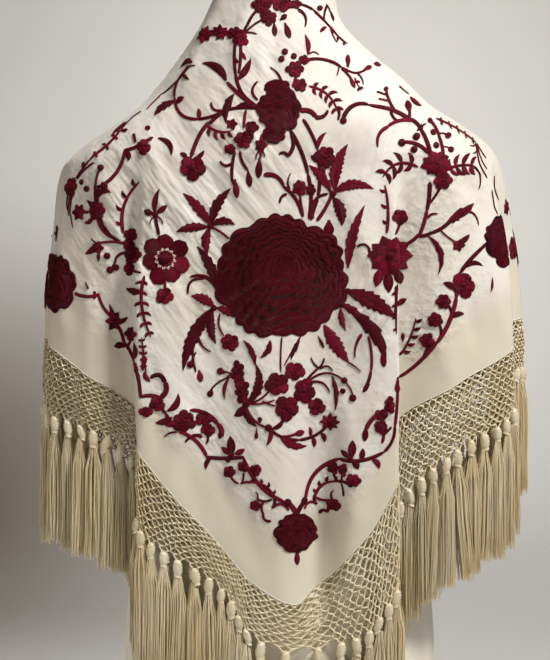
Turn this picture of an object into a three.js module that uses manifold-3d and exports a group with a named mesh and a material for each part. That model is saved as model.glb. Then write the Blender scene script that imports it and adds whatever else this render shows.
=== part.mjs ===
// An embroidered silk shawl, folded corner to corner and worn round the neck and shoulders of a
// limbless dress form that stands on a short pole and a round base. Millimetres, +Z up. The wearer
// would face +Y, so the long corner of the shawl hangs down the back, on the -Y side, and the two
// short corners hang in front. The origin is on the surface under the base, in its middle.
import * as THREE from "three";
import { mergeVertices } from "three/addons/utils/BufferGeometryUtils.js";
import Module from "manifold-3d";

const wasm = await Module();
wasm.setup();

// The cut: one square of crepe, folded on its diagonal, with a knotted net and a fringe on the
// two folded-over pairs of sides.
const NECK_FOLD_Z = 932; // height of the folded edge round the neck
const WALL = 2; // two layers of crepe with their embroidery, or of knotted cord
const SEAM_GAP = 0.9; // straight down between pieces that meet, about 0.5 square to a sloping seam
const STRIP_DROP = 6; // the row of knots that the tassels hang from
const TASSEL_PITCH = 11; // between tassels, along the plan of the hem
const NET_LEVEL_Z = 460; // a level at which the tassels' pitch is measured
const TASSEL_LENGTH = 126;
const KNOT_LENGTH = 15;
const BACK_CORNER_ANGLE = 7; // the back corner hangs a little to the right of the middle
const FRONT_EDGE_ANGLE = 163;

// Levels of the worn cloth, top to bottom. Half widths to the left and right, depths to the back and
// front, the squareness of the outline (2 is an ellipse) and the angle of the front edge, which is
// counted from the middle of the back.
const LEVELS = [
  { z: 932, left: 57, right: 54.5, back: 57.5, front: 58, square: 2.0, edge: 118 },
  { z: 900, left: 69, right: 59, back: 63, front: 62, square: 2.0, edge: 127 },
  { z: 870, left: 82, right: 66, back: 74, front: 72, square: 2.0, edge: 136 },
  { z: 840, left: 101, right: 93, back: 89, front: 85, square: 1.95, edge: 145 },
  { z: 810, left: 123, right: 130, back: 103, front: 95, square: 1.9, edge: 150 },
  { z: 780, left: 149, right: 162, back: 114, front: 105, square: 1.9, edge: 153.5 },
  { z: 760, left: 175, right: 194, back: 119, front: 111, square: 1.95, edge: 155 },
  { z: 740, left: 205, right: 219, back: 122, front: 117, square: 2.05, edge: 156.5 },
  { z: 715, left: 228, right: 232, back: 123, front: 126, square: 2.25, edge: 158.5 },
  { z: 655, left: 237, right: 243, back: 124, front: 138, square: 2.35, edge: 162 },
  { z: 575, left: 245, right: 253, back: 124, front: 141, square: 2.4, edge: 163 },
  { z: 300, left: 250, right: 256, back: 122, front: 140, square: 2.4, edge: 163 },
];

// Crests and hollows of the folds where the cloth hangs free: the angle from the middle of the back,
// to the left below zero, and how far the cloth stands out of the plain outline.
const FOLDS = [
  { angle: -163, out: 3 },
  { angle: -150, out: -9 },
  { angle: -136, out: 8 },
  { angle: -124, out: -12 },
  { angle: -108, out: 7 },
  { angle: -98, out: -7 },
  { angle: -88, out: 0 },
  { angle: -81, out: -14 },
  { angle: -74, out: 8 },
  { angle: -65, out: 2 },
  { angle: -56, out: -22 },
  { angle: -49, out: 9 },
  { angle: -32, out: -5 },
  { angle: -6, out: 4 },
  { angle: 21, out: -7 },
  { angle: 42.5, out: 8 },
  { angle: 49.5, out: -32 },
  { angle: 60, out: -1 },
  { angle: 72, out: 8 },
  { angle: 79, out: -14 },
  { angle: 88, out: 0 },
  { angle: 97, out: -8 },
  { angle: 109, out: 7 },
  { angle: 125, out: -11 },
  { angle: 138, out: 8 },
  { angle: 151, out: -8 },
  { angle: 163, out: 3 },
];
const FOLDS_START_Z = 745;
const FOLDS_FULL_Z = 560;

// Height of the hem at each angle, high over the sides and low at the back corner and the front
// corners, and how far the net reaches below it, measured straight down.
const HEM = [
  { angle: -163, z: 366, net: 62 },
  { angle: -150, z: 394, net: 64 },
  { angle: -128, z: 446, net: 66 },
  { angle: -105, z: 514, net: 62 },
  { angle: -88, z: 539, net: 62 },
  { angle: -75, z: 535, net: 66 },
  { angle: -65, z: 507, net: 50 },
  { angle: -60, z: 489, net: 46 },
  { angle: -55, z: 464, net: 56 },
  { angle: -49, z: 430, net: 70 },
  { angle: -45, z: 410, net: 66 },
  { angle: -38, z: 377, net: 50 },
  { angle: -30, z: 352, net: 40 },
  { angle: -22, z: 331, net: 38 },
  { angle: -13, z: 309, net: 48 },
  { angle: 7, z: 286, net: 44 },
  { angle: 17, z: 300, net: 54 },
  { angle: 26, z: 321, net: 70 },
  { angle: 35, z: 354, net: 90 },
  { angle: 40, z: 384, net: 95 },
  { angle: 43, z: 404, net: 102 },
  { angle: 46, z: 427, net: 104 },
  { angle: 50, z: 454, net: 90 },
  { angle: 54, z: 475, net: 72 },
  { angle: 60, z: 496, net: 62 },
  { angle: 72, z: 529, net: 62 },
  { angle: 79, z: 554, net: 50 },
  { angle: 90, z: 559, net: 48 },
  { angle: 105, z: 524, net: 58 },
  { angle: 128, z: 442, net: 64 },
  { angle: 150, z: 390, net: 64 },
  { angle: 163, z: 362, net: 62 },
];

// The dress form, bottom to top: half width, depth to the back and to the front.
const FORM = [
  { z: 152, wide: 152, back: 101, front: 101 },
  { z: 161, wide: 157, back: 105, front: 105 },
  { z: 200, wide: 161, back: 108, front: 108 },
  { z: 250, wide: 160, back: 109, front: 108 },
  { z: 300, wide: 155, back: 106, front: 105 },
  { z: 341, wide: 147, back: 100, front: 98 },
  { z: 380, wide: 134, back: 88, front: 91 },
  { z: 425, wide: 122, back: 80, front: 88 },
  { z: 480, wide: 127, back: 86, front: 97 },
  { z: 540, wide: 140, back: 97, front: 112 },
  { z: 600, wide: 152, back: 107, front: 128 },
  { z: 645, wide: 158, back: 114, front: 133 },
  { z: 690, wide: 163, back: 118.5, front: 122 },
  { z: 712, wide: 178, back: 119.2, front: 113.5 },
  { z: 728, wide: 191, back: 118.8, front: 106.5 },
  { z: 741, wide: 189, back: 116.5, front: 99.5 },
  { z: 752, wide: 172.5, back: 112, front: 92.5 },
  { z: 764, wide: 156.5, back: 106, front: 85 },
  { z: 776, wide: 143, back: 100.5, front: 80 },
  { z: 790, wide: 130, back: 94, front: 75 },
  { z: 806, wide: 114, back: 85, front: 68 },
  { z: 822, wide: 92, back: 73, front: 61 },
  { z: 838, wide: 73, back: 64, front: 55 },
  { z: 858, wide: 59, back: 57, front: 51 },
  { z: 885, wide: 52, back: 54.5, front: 49 },
  { z: 915, wide: 50, back: 54, front: 49.5 },
  { z: 942, wide: 49.5, back: 54.2, front: 50 },
];
const FORM_SIDES = 32;
const FORM_SQUARE = 2.15;
const NECK_CAP_THICK = 14;
const POLE_RADIUS = 16;
const FLANGE_RADIUS = 46;
const FLANGE_THICK = 9;
const BASE_RADIUS = 150;
const BASE_THICK = 14;
const BASE_BOSS_RADIUS = 34;
const BASE_BOSS_HIGH = 30;
const TURNED_SIDES = 40;

const radians = THREE.MathUtils.degToRad;

// A smooth curve through a table's rows, with each row's slope taken from its two neighbours.
function curveThrough(rows, by, key, at) {
  const rising = rows[0][by] < rows[rows.length - 1][by] ? rows : [...rows].reverse();
  const last = rising.length - 1;
  if (at <= rising[0][by]) return rising[0][key];
  if (at >= rising[last][by]) return rising[last][key];
  const i = rising.findIndex((row) => row[by] > at) - 1;
  const slope = (k) => {
    const a = rising[Math.max(k - 1, 0)];
    const b = rising[Math.min(k + 1, last)];
    return (b[key] - a[key]) / (b[by] - a[by]);
  };
  const span = rising[i + 1][by] - rising[i][by];
  const t = (at - rising[i][by]) / span;
  return (
    (2 * t ** 3 - 3 * t ** 2 + 1) * rising[i][key] +
    (t ** 3 - 2 * t ** 2 + t) * span * slope(i) +
    (3 * t ** 2 - 2 * t ** 3) * rising[i + 1][key] +
    (t ** 3 - t ** 2) * span * slope(i + 1)
  );
}

// A wave through a table's rows that is level at each crest and hollow.
function waveThrough(rows, by, key, at) {
  const last = rows.length - 1;
  if (at <= rows[0][by]) return rows[0][key];
  if (at >= rows[last][by]) return rows[last][key];
  const i = rows.findIndex((row) => row[by] > at) - 1;
  const t = (at - rows[i][by]) / (rows[i + 1][by] - rows[i][by]);
  return THREE.MathUtils.lerp(rows[i][key], rows[i + 1][key], (1 - Math.cos(Math.PI * t)) / 2);
}

// Distance from the axis to a superellipse at an angle from the middle of the back.
function outlineRadius(angle, { left, right, back, front, square }) {
  const across = Math.sin(radians(angle));
  const along = Math.cos(radians(angle));
  const half = across < 0 ? left : right;
  const deep = along > 0 ? back : front;
  return (Math.abs(across / half) ** square + Math.abs(along / deep) ** square) ** (-1 / square);
}

function atAngle(radius, angle, z) {
  return new THREE.Vector3(radius * Math.sin(radians(angle)), -radius * Math.cos(radians(angle)), z);
}

const foldDepth = (angle) => waveThrough(FOLDS, "angle", "out", angle);

// A point of the cloth's outer face: the plain outline of its level, and the folds below the shoulders.
function clothPoint(angle, z) {
  const level = {};
  for (const key of ["left", "right", "back", "front", "square"])
    level[key] = curveThrough(LEVELS, "z", key, z);
  const grown = THREE.MathUtils.smoothstep(-z, -FOLDS_START_Z, -FOLDS_FULL_Z);
  return atAngle(outlineRadius(angle, level) + foldDepth(angle) * grown, angle, z);
}

const hemHeight = (angle) => curveThrough(HEM, "angle", "z", angle);
const netFoot = (angle) => hemHeight(angle) - curveThrough(HEM, "angle", "net", angle);

// Angles of the walls' columns, the same for every wall so that their seams run side by side: each
// flank between a crest and its hollow in equal steps, more of them where it is wide or deep, with a
// column on the back corner.
const COLUMN_ANGLES = FOLDS.map((fold) => fold.angle)
  .concat(BACK_CORNER_ANGLE)
  .sort((a, b) => a - b)
  .flatMap((mark, i, marks) => {
    if (i + 1 === marks.length) return [mark];
    const turn = marks[i + 1] - mark;
    const deep = Math.abs(foldDepth(marks[i + 1]) - foldDepth(mark));
    const steps = Math.max(2, Math.ceil(turn / 7), Math.ceil(deep / 11));
    return Array.from({ length: steps }, (_, k) => mark + (turn * k) / steps);
  });

// The columns between two angles, with a column on each of the two.
function columnAngles(from, to) {
  const between = COLUMN_ANGLES.filter((angle) => angle > from + 0.5 && angle < to - 0.5);
  return [from, ...between, to];
}

// The direction out of the cloth at a point, square to its outer face.
function clothNormal(angle, z) {
  const step = 0.5;
  const sideways = clothPoint(angle + step, z).sub(clothPoint(angle - step, z));
  const downwards = clothPoint(angle, z - step).sub(clothPoint(angle, z + step));
  return downwards.cross(sideways).normalize();
}

// A closed wall of the cloth's form from columns of angles and heights: the inner face is the outer
// one moved in by the wall, and the four edges are closed. Columns run left to right seen from
// behind the back, and each column runs downwards.
function wall(columns) {
  const across = columns.length;
  const down = columns[0].length;
  const points = [];
  for (const inward of [0, WALL])
    for (const column of columns)
      for (const { angle, z } of column)
        points.push(clothPoint(angle, z).addScaledVector(clothNormal(angle, z), -inward));
  const layer = across * down;
  const faces = [];
  const quad = (a, b, c, d) => faces.push(a, b, c, a, c, d);
  const at = (i, j, inner) => i * down + j + inner * layer;
  for (let i = 0; i + 1 < across; i++)
    for (let j = 0; j + 1 < down; j++) {
      quad(at(i, j, 0), at(i, j + 1, 0), at(i + 1, j + 1, 0), at(i + 1, j, 0));
      quad(at(i, j, 1), at(i + 1, j, 1), at(i + 1, j + 1, 1), at(i, j + 1, 1));
    }
  for (let i = 0; i + 1 < across; i++) {
    quad(at(i, 0, 0), at(i + 1, 0, 0), at(i + 1, 0, 1), at(i, 0, 1));
    quad(at(i + 1, down - 1, 1), at(i + 1, down - 1, 0), at(i, down - 1, 0), at(i, down - 1, 1));
  }
  for (let j = 0; j + 1 < down; j++) {
    quad(at(0, j, 1), at(0, j + 1, 1), at(0, j + 1, 0), at(0, j, 0));
    quad(at(across - 1, j + 1, 1), at(across - 1, j, 1), at(across - 1, j, 0), at(across - 1, j + 1, 0));
  }
  return geometryOf(points, faces);
}

function geometryOf(points, faces) {
  const geometry = new THREE.BufferGeometry();
  const numbers = points.flatMap((point) => point.toArray());
  geometry.setAttribute("position", new THREE.Float32BufferAttribute(numbers, 3));
  geometry.setIndex(faces);
  geometry.computeVertexNormals();
  return geometry;
}

// A closed solid from rings of equal length, each counter-clockwise seen from above, bottom first.
function loft(rings) {
  const sides = rings[0].length;
  const faces = [];
  for (let j = 0; j + 1 < rings.length; j++)
    for (let i = 0; i < sides; i++) {
      const a = j * sides + i;
      const b = j * sides + ((i + 1) % sides);
      faces.push(a, b, b + sides, a, b + sides, a + sides);
    }
  const top = (rings.length - 1) * sides;
  for (let i = 1; i + 1 < sides; i++) {
    faces.push(0, i + 1, i);
    faces.push(top, top + i, top + i + 1);
  }
  return geometryOf(rings.flat(), faces);
}

function solidOf(geometry) {
  const bare = geometry.clone();
  bare.deleteAttribute("normal");
  bare.deleteAttribute("uv");
  const merged = mergeVertices(bare, 1e-3);
  return new wasm.Manifold(
    new wasm.Mesh({
      numProp: 3,
      vertProperties: merged.attributes.position.array,
      triVerts: new Uint32Array(merged.index.array),
    }),
  );
}

function geometryFrom(solid) {
  const mesh = solid.getMesh();
  const geometry = new THREE.BufferGeometry();
  geometry.setAttribute("position", new THREE.Float32BufferAttribute(mesh.vertProperties, 3));
  geometry.setIndex(new THREE.BufferAttribute(mesh.triVerts, 1));
  geometry.computeVertexNormals();
  return geometry;
}

// The doubled crepe, from the fold round the neck down to the hem.
function clothGeometry() {
  const ROWS = 17;
  const columns = columnAngles(-FRONT_EDGE_ANGLE, FRONT_EDGE_ANGLE).map((angle) => {
    const share = angle / curveThrough(LEVELS, "z", "edge", hemHeight(angle));
    return Array.from({ length: ROWS + 1 }, (_, j) => {
      const z = THREE.MathUtils.lerp(NECK_FOLD_Z, hemHeight(angle), j / ROWS);
      return { angle: share * curveThrough(LEVELS, "z", "edge", z), z };
    });
  });
  return wall(columns);
}

// A band that hangs straight down between two heights, each a function of the angle.
function bandGeometry(from, to, topHeight, footHeight, rows) {
  const columns = columnAngles(from, to).map((angle) =>
    Array.from({ length: rows + 1 }, (_, j) => {
      const z = THREE.MathUtils.lerp(topHeight(angle), footHeight(angle), j / rows);
      return { angle, z };
    }),
  );
  return wall(columns);
}

const netGeometry = (from, to) => bandGeometry(from, to, (a) => hemHeight(a) - SEAM_GAP, netFoot, 2);
const stripTop = (angle) => netFoot(angle) - SEAM_GAP;
const stripFoot = (angle) => stripTop(angle) - STRIP_DROP;

// Angles of the tassels between two angles: about a pitch apart along the net's lower edge seen from
// above, the first and the last half a pitch from the ends.
function tasselAngles(from, to) {
  const STEP = 0.25;
  const walked = [0];
  for (let k = 1; from + k * STEP <= to; k++) {
    const a = clothPoint(from + (k - 1) * STEP, NET_LEVEL_Z);
    const b = clothPoint(from + k * STEP, NET_LEVEL_Z);
    walked.push(walked[k - 1] + Math.hypot(b.x - a.x, b.y - a.y));
  }
  const whole = walked[walked.length - 1];
  const count = Math.round(whole / TASSEL_PITCH);
  return Array.from({ length: count }, (_, n) => {
    const k = walked.findIndex((length) => length >= (whole * (n + 0.5)) / count);
    return from + k * STEP;
  });
}

// One tassel: a link from the strip, a knot, a drawn-in neck and a skirt of threads, four-sided. Rows
// give the drop below the strip's middle and the half width and half thickness there.
function tasselGeometry(angle, order) {
  const after = COLUMN_ANGLES.findIndex((a) => a > angle);
  const [from, to] = [COLUMN_ANGLES[after - 1], COLUMN_ANGLES[after]];
  const inStrip = (a) => {
    const height = stripTop(a) - STRIP_DROP / 2;
    return clothPoint(a, height).addScaledVector(clothNormal(a, height), -WALL / 2);
  };
  const middle = inStrip(from).lerp(inStrip(to), (angle - from) / (to - from));
  const along = inStrip(to).sub(inStrip(from)).setZ(0).normalize();
  const outward = new THREE.Vector3(along.y, -along.x, 0);
  const uneven = 3 * Math.sin(order * 2.4) + 2 * Math.sin(order * 0.9);
  const sections = [
    { drop: TASSEL_LENGTH + uneven, wide: 4.3, thick: 3.0 },
    { drop: KNOT_LENGTH + 13, wide: 4.0, thick: 3.2 },
    { drop: KNOT_LENGTH + 3, wide: 2.4, thick: 2.4 },
    { drop: KNOT_LENGTH - 3, wide: 4, thick: 4 },
    { drop: 1.5, wide: 0.8, thick: 0.8 },
  ];
  const corners = [[-1, 1], [1, 1], [1, -1], [-1, -1]];
  const rings = sections.map(({ drop, wide, thick }) =>
    corners.map(([a, b]) =>
      middle
        .clone()
        .addScaledVector(along, a * wide)
        .addScaledVector(outward, b * thick)
        .setZ(middle.z - drop),
    ),
  );
  return loft(rings);
}

// The strip of knots along the net's edge with its tassels hanging from it.
function fringeGeometry(from, to) {
  const strip = bandGeometry(from, to, stripTop, stripFoot, 1);
  const hung = tasselAngles(from, to).map((angle, k) => solidOf(tasselGeometry(angle, k)));
  return geometryFrom(wasm.Manifold.union([solidOf(strip), ...hung]));
}

// A ring of points round the dress form, a share of the size that its row gives.
function formRing({ wide, back, front }, z, share) {
  const level = { left: wide, right: wide, back, front, square: FORM_SQUARE };
  return Array.from({ length: FORM_SIDES }, (_, i) => {
    const angle = (360 * i) / FORM_SIDES;
    return atAngle(share * outlineRadius(angle, level), angle, z);
  });
}

// The dress form's covered torso and neck.
const formGeometry = () => loft(FORM.map((row) => formRing(row, row.z, 1)));

function turned(profile) {
  const points = profile.map(([radius, z]) => new THREE.Vector2(radius, z));
  return new THREE.LatheGeometry(points, TURNED_SIDES).rotateX(Math.PI / 2);
}

const formTop = FORM[FORM.length - 1];
const formFoot = FORM[0];

// The turned wooden cap on the neck, rounded over at its top.
function neckCapGeometry() {
  return loft([
    formRing(formTop, formTop.z + SEAM_GAP, 1.03),
    formRing(formTop, formTop.z + NECK_CAP_THICK * 0.6, 1.03),
    formRing(formTop, formTop.z + NECK_CAP_THICK * 0.9, 0.96),
    formRing(formTop, formTop.z + NECK_CAP_THICK, 0.86),
  ]);
}

function flangeGeometry() {
  const top = formFoot.z - SEAM_GAP;
  return turned([
    [0, top - FLANGE_THICK],
    [FLANGE_RADIUS, top - FLANGE_THICK],
    [FLANGE_RADIUS, top],
    [0, top],
  ]);
}

function poleGeometry() {
  const bottom = BASE_THICK + BASE_BOSS_HIGH + SEAM_GAP;
  const top = formFoot.z - SEAM_GAP - FLANGE_THICK - SEAM_GAP;
  return turned([
    [0, bottom],
    [POLE_RADIUS, bottom],
    [POLE_RADIUS, top],
    [0, top],
  ]);
}

function baseGeometry() {
  const bevel = 4;
  const boss = BASE_THICK + BASE_BOSS_HIGH;
  return turned([
    [0, 0],
    [BASE_RADIUS, 0],
    [BASE_RADIUS, BASE_THICK - bevel],
    [BASE_RADIUS - bevel, BASE_THICK],
    [BASE_BOSS_RADIUS, BASE_THICK],
    [BASE_BOSS_RADIUS - bevel, boss - bevel],
    [BASE_BOSS_RADIUS - 2 * bevel, boss],
    [0, boss],
  ]);
}

const crepe = new THREE.MeshStandardMaterial({ color: 0xe6dfce, roughness: 0.55, side: THREE.DoubleSide });
const silkCord = new THREE.MeshStandardMaterial({ color: 0xe3d9bd, roughness: 0.5 });
const linen = new THREE.MeshStandardMaterial({ color: 0xd8cfbc, roughness: 0.9 });
const beech = new THREE.MeshStandardMaterial({ color: 0xb98f5f, roughness: 0.5 });
const blackMetal = new THREE.MeshStandardMaterial({ color: 0x2b2a29, roughness: 0.45, metalness: 0.4 });

const shawl = new THREE.Group();
function piece(name, geometry, material) {
  const mesh = new THREE.Mesh(geometry, material);
  mesh.name = name;
  shawl.add(mesh);
}

const partedBy = 0.1; // degrees, on either side of where two nets or two runs of fringe meet
piece("shawl_cloth", clothGeometry(), crepe);
piece("net_left", netGeometry(-FRONT_EDGE_ANGLE, BACK_CORNER_ANGLE - partedBy), silkCord);
piece("net_right", netGeometry(BACK_CORNER_ANGLE + partedBy, FRONT_EDGE_ANGLE), silkCord);

// The fringe in six runs, from the front left corner round the back to the front right corner.
const RUNS = [
  { name: "fringe_front_left", from: -FRONT_EDGE_ANGLE, to: -124 },
  { name: "fringe_side_left", from: -124, to: -65 },
  { name: "fringe_back_left", from: -65, to: BACK_CORNER_ANGLE },
  { name: "fringe_back_right", from: BACK_CORNER_ANGLE, to: 60 },
  { name: "fringe_side_right", from: 60, to: 125 },
  { name: "fringe_front_right", from: 125, to: FRONT_EDGE_ANGLE },
];
for (const { name, from, to } of RUNS)
  piece(name, fringeGeometry(from + partedBy, to - partedBy), silkCord);

piece("form_torso", formGeometry(), linen);
piece("form_neck_cap", neckCapGeometry(), beech);
piece("form_flange", flangeGeometry(), beech);
piece("form_pole", poleGeometry(), beech);
piece("form_base", baseGeometry(), blackMetal);

export default shawl;
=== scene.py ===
"""An ivory silk-crepe shawl, embroidered in wine red, worn on a limbless dress form: the looks.

Lengths in the tables are millimetres, angles are degrees round the form from the middle of the
back, below zero to the left. Everything is turned to metres when its mesh is made.
"""
import math

import bpy
import numpy as np
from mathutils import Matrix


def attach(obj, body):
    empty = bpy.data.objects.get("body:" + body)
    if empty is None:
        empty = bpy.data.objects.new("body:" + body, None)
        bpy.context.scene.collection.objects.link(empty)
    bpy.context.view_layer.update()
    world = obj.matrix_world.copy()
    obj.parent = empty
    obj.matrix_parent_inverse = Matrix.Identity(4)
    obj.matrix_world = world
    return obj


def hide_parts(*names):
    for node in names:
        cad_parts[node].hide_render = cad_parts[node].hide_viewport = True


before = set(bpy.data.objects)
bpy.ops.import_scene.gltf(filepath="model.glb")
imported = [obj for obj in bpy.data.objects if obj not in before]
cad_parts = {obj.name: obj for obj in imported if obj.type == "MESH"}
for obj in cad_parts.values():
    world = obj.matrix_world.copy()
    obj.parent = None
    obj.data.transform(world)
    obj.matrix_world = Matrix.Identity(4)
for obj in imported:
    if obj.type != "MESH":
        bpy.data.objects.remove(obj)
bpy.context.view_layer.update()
MM = 0.001

# The worn cloth, by the same tables as the solids: z, half width left and right, depth to the back
# and front, squareness, angle of the front edge
LEVELS = np.array([
    (932, 57, 54.5, 57.5, 58, 2.0, 118),
    (900, 69, 59, 63, 62, 2.0, 127),
    (870, 82, 66, 74, 72, 2.0, 136),
    (840, 101, 93, 89, 85, 1.95, 145),
    (810, 123, 130, 103, 95, 1.9, 150),
    (780, 149, 162, 114, 105, 1.9, 153.5),
    (760, 175, 194, 119, 111, 1.95, 155),
    (740, 205, 219, 122, 117, 2.05, 156.5),
    (715, 228, 232, 123, 126, 2.25, 158.5),
    (655, 237, 243, 124, 138, 2.35, 162),
    (575, 245, 253, 124, 141, 2.4, 163),
    (300, 250, 256, 122, 140, 2.4, 163),
], float)[::-1]
FOLD_Z = 932
FRONT_EDGE = 163
FOLDS_START, FOLDS_FULL = 745, 560

# Folds: angle, how far the crest or hollow stands out
FOLDS = np.array([
    (-163, 3), (-150, -9), (-136, 8), (-124, -12), (-108, 7), (-98, -7), (-88, 0), (-81, -14),
    (-74, 8), (-65, 2), (-56, -22), (-49, 9), (-32, -5), (-6, 4), (21, -7), (42.5, 8), (49.5, -32),
    (60, -1), (72, 8), (79, -14), (88, 0), (97, -8), (109, 7), (125, -11), (138, 8), (151, -8),
    (163, 3),
], float)

# Hem: angle, height, straight drop of the net below it
HEM = np.array([
    (-163, 366, 62), (-150, 394, 64), (-128, 446, 66), (-105, 514, 62), (-88, 539, 62),
    (-75, 535, 66), (-65, 507, 50), (-60, 489, 46), (-55, 464, 56), (-49, 430, 70), (-45, 410, 66),
    (-38, 377, 50), (-30, 352, 40), (-22, 331, 38), (-13, 309, 48), (7, 286, 44), (17, 300, 54),
    (26, 321, 70), (35, 354, 90), (40, 384, 95), (43, 404, 102), (46, 427, 104), (50, 454, 90),
    (54, 475, 72), (60, 496, 62), (72, 529, 62), (79, 554, 50), (90, 559, 48), (105, 524, 58),
    (128, 442, 64), (150, 390, 64), (163, 362, 62),
], float)

# The dress form: z, half width, depth to the back and front
FORM = np.array([
    (152, 152, 101, 101), (161, 157, 105, 105), (200, 161, 108, 108), (250, 160, 109, 108),
    (300, 155, 106, 105), (341, 147, 100, 98), (380, 134, 88, 91), (425, 122, 80, 88),
    (480, 127, 86, 97), (540, 140, 97, 112), (600, 152, 107, 128), (645, 158, 114, 133),
    (690, 163, 118.5, 122), (712, 178, 119.2, 113.5), (728, 191, 118.8, 106.5),
    (741, 189, 116.5, 99.5), (752, 172.5, 112, 92.5), (764, 156.5, 106, 85), (776, 143, 100.5, 80),
    (790, 130, 94, 75), (806, 114, 85, 68), (822, 92, 73, 61), (838, 73, 64, 55), (858, 59, 57, 51),
    (885, 52, 54.5, 49), (915, 50, 54, 49.5), (942, 49.5, 54.2, 50),
], float)
FORM_SQUARE = 2.15


# Curves and surfaces

def row_at(x, at):
    """The row of x before each place, and the share of the way to the next row."""
    at = np.clip(at, x[0], x[-1])
    i = np.clip(np.searchsorted(x, at, side="right") - 1, 0, len(x) - 2)
    return i, (at - x[i]) / (x[i + 1] - x[i])


def curve(table, column, at):
    """A cubic through a column, by the first one: the slope at a row is the line between its two
    neighbours, f(t) = h00 p0 + h10 m0 + h01 p1 + h11 m1."""
    x, y = table[:, 0], table[:, column]
    rows = np.arange(len(x))
    low, high = np.maximum(rows - 1, 0), np.minimum(rows + 1, len(x) - 1)
    slope = (y[high] - y[low]) / (x[high] - x[low])
    i, t = row_at(x, at)
    span = x[i + 1] - x[i]
    return ((2 * t**3 - 3 * t**2 + 1) * y[i] + (t**3 - 2 * t**2 + t) * span * slope[i]
            + (3 * t**2 - 2 * t**3) * y[i + 1] + (t**3 - t**2) * span * slope[i + 1])


def wave(table, column, at):
    """A wave through a column that is level at each row: half a cosine from row to row."""
    y = table[:, column]
    i, t = row_at(table[:, 0], at)
    return y[i] + (y[i + 1] - y[i]) * (1 - np.cos(np.pi * t)) / 2


def smooth(at, low, high):
    """0 below low, 1 above high, and t*t*(3 - 2t) between."""
    t = np.clip((at - low) / (high - low), 0, 1)
    return t * t * (3 - 2 * t)


def outline(angle, left, right, back, front, square):
    """Radius of a superellipse, (|sin a| / half)^n + (|cos a| / deep)^n = r^-n."""
    across, along = np.sin(np.radians(angle)), np.cos(np.radians(angle))
    half, deep = np.where(across < 0, left, right), np.where(along > 0, back, front)
    return (np.abs(across / half) ** square + np.abs(along / deep) ** square) ** (-1 / square)


def round_points(radius, angle, z):
    """x = r sin a, y = -r cos a, z."""
    return np.stack([radius * np.sin(np.radians(angle)), -radius * np.cos(np.radians(angle)),
                     z + 0 * radius], -1)


def angle_of(points):
    return np.degrees(np.arctan2(points[..., 0], -points[..., 1]))


def walked_along(points):
    """Length walked along a line of points."""
    return np.concatenate([[0], np.cumsum(np.linalg.norm(np.diff(points, axis=0), axis=1))])


# Soft troughs and ridges. Side is -1 on the back and 1 on the front; the ends are x, z
# as seen from behind, then the half width and how far it stands out of the cloth.
CREASES = np.array([
    (-1, -150, 770, -60, 600, 9, 2.2), (-1, -120, 800, -30, 650, 7, -1.8),
    (-1, -185, 730, -120, 560, 10, 2.6), (-1, -200, 690, -150, 520, 8, -2.4),
    (-1, -165, 690, -95, 470, 11, 2.4), (-1, -110, 690, -70, 520, 7, -1.6),
    (-1, -132, 600, -133, 450, 8, 3.0), (-1, -118, 560, -112, 420, 9, -2.2),
    (-1, -95, 500, -70, 390, 12, 2.2), (-1, -60, 470, -40, 350, 9, -1.6),
    (-1, -20, 900, -45, 790, 8, 2.2), (-1, 10, 910, -10, 760, 9, -2.0),
    (-1, 35, 900, 75, 780, 9, 2.4), (-1, 55, 860, 110, 740, 8, -1.8),
    (-1, -48, 900, -95, 790, 8, 2.2), (-1, -60, 860, -130, 760, 7, -1.8),
    (-1, 110, 800, 190, 660, 11, 2.4), (-1, 150, 780, 215, 640, 9, -2.0),
    (-1, 60, 700, 112, 560, 10, 2.6), (-1, 95, 690, 122, 520, 8, -2.0),
    (-1, 45, 600, 70, 440, 12, 2.0), (-1, 30, 480, 42, 330, 10, -2.4),
    (-1, 62, 470, 80, 350, 12, 2.4), (-1, 5, 440, 12, 320, 11, 1.8),
    (-1, 150, 600, 165, 500, 10, 2.2), (-1, 180, 640, 196, 530, 9, -2.0),
    (-1, 215, 660, 222, 540, 8, 2.0), (-1, -210, 640, -214, 540, 9, 2.4),
    (1, -160, 760, -70, 560, 12, 2.6), (1, -120, 790, -60, 620, 8, -2.0),
    (1, -190, 700, -130, 520, 11, 2.4), (1, -90, 640, -60, 440, 12, 2.6),
    (1, -150, 560, -140, 480, 9, -2.2), (1, 160, 760, 70, 570, 12, 2.6),
    (1, 115, 790, 65, 610, 8, -2.0), (1, 195, 700, 135, 520, 11, 2.2),
    (1, 95, 640, 60, 430, 12, 2.4), (1, 155, 570, 140, 480, 9, -2.4),
    (-1, -5, 850, -85, 840, 6, -1.4), (-1, 20, 830, 95, 835, 6, 1.4),
    (-1, 50, 455, 36, 255, 14, -13), (-1, 8, 420, 6, 262, 12, 3.0),
    (-1, 80, 440, 70, 290, 14, 6.0),
    (-1, -92, 470, -100, 380, 14, 3.4), (-1, -30, 420, -22, 320, 13, -2.6),
], float)
CREASE_BEND, CREASE_SHARE, BELOW_FACE = 6, 0.8, 0.6


def plain_cloth(angle, z):
    """Outer face of the solids' cloth: the level's outline plus the folds, which grow on the way
    down from the height where they start."""
    r = outline(angle, *(curve(LEVELS, k, z) for k in range(1, 6)))
    r = r + wave(FOLDS, 1, angle) * smooth(-z, -FOLDS_START, -FOLDS_FULL)
    return round_points(r, angle, z)


def plain_normal(angle, z):
    """Cross product of the steps down and sideways, of length one."""
    side = plain_cloth(angle + 0.4, z) - plain_cloth(angle - 0.4, z)
    down = plain_cloth(angle, z - 0.6) - plain_cloth(angle, z + 0.6)
    n = np.cross(down, side)
    return n / np.linalg.norm(n, axis=-1, keepdims=True)


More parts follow.
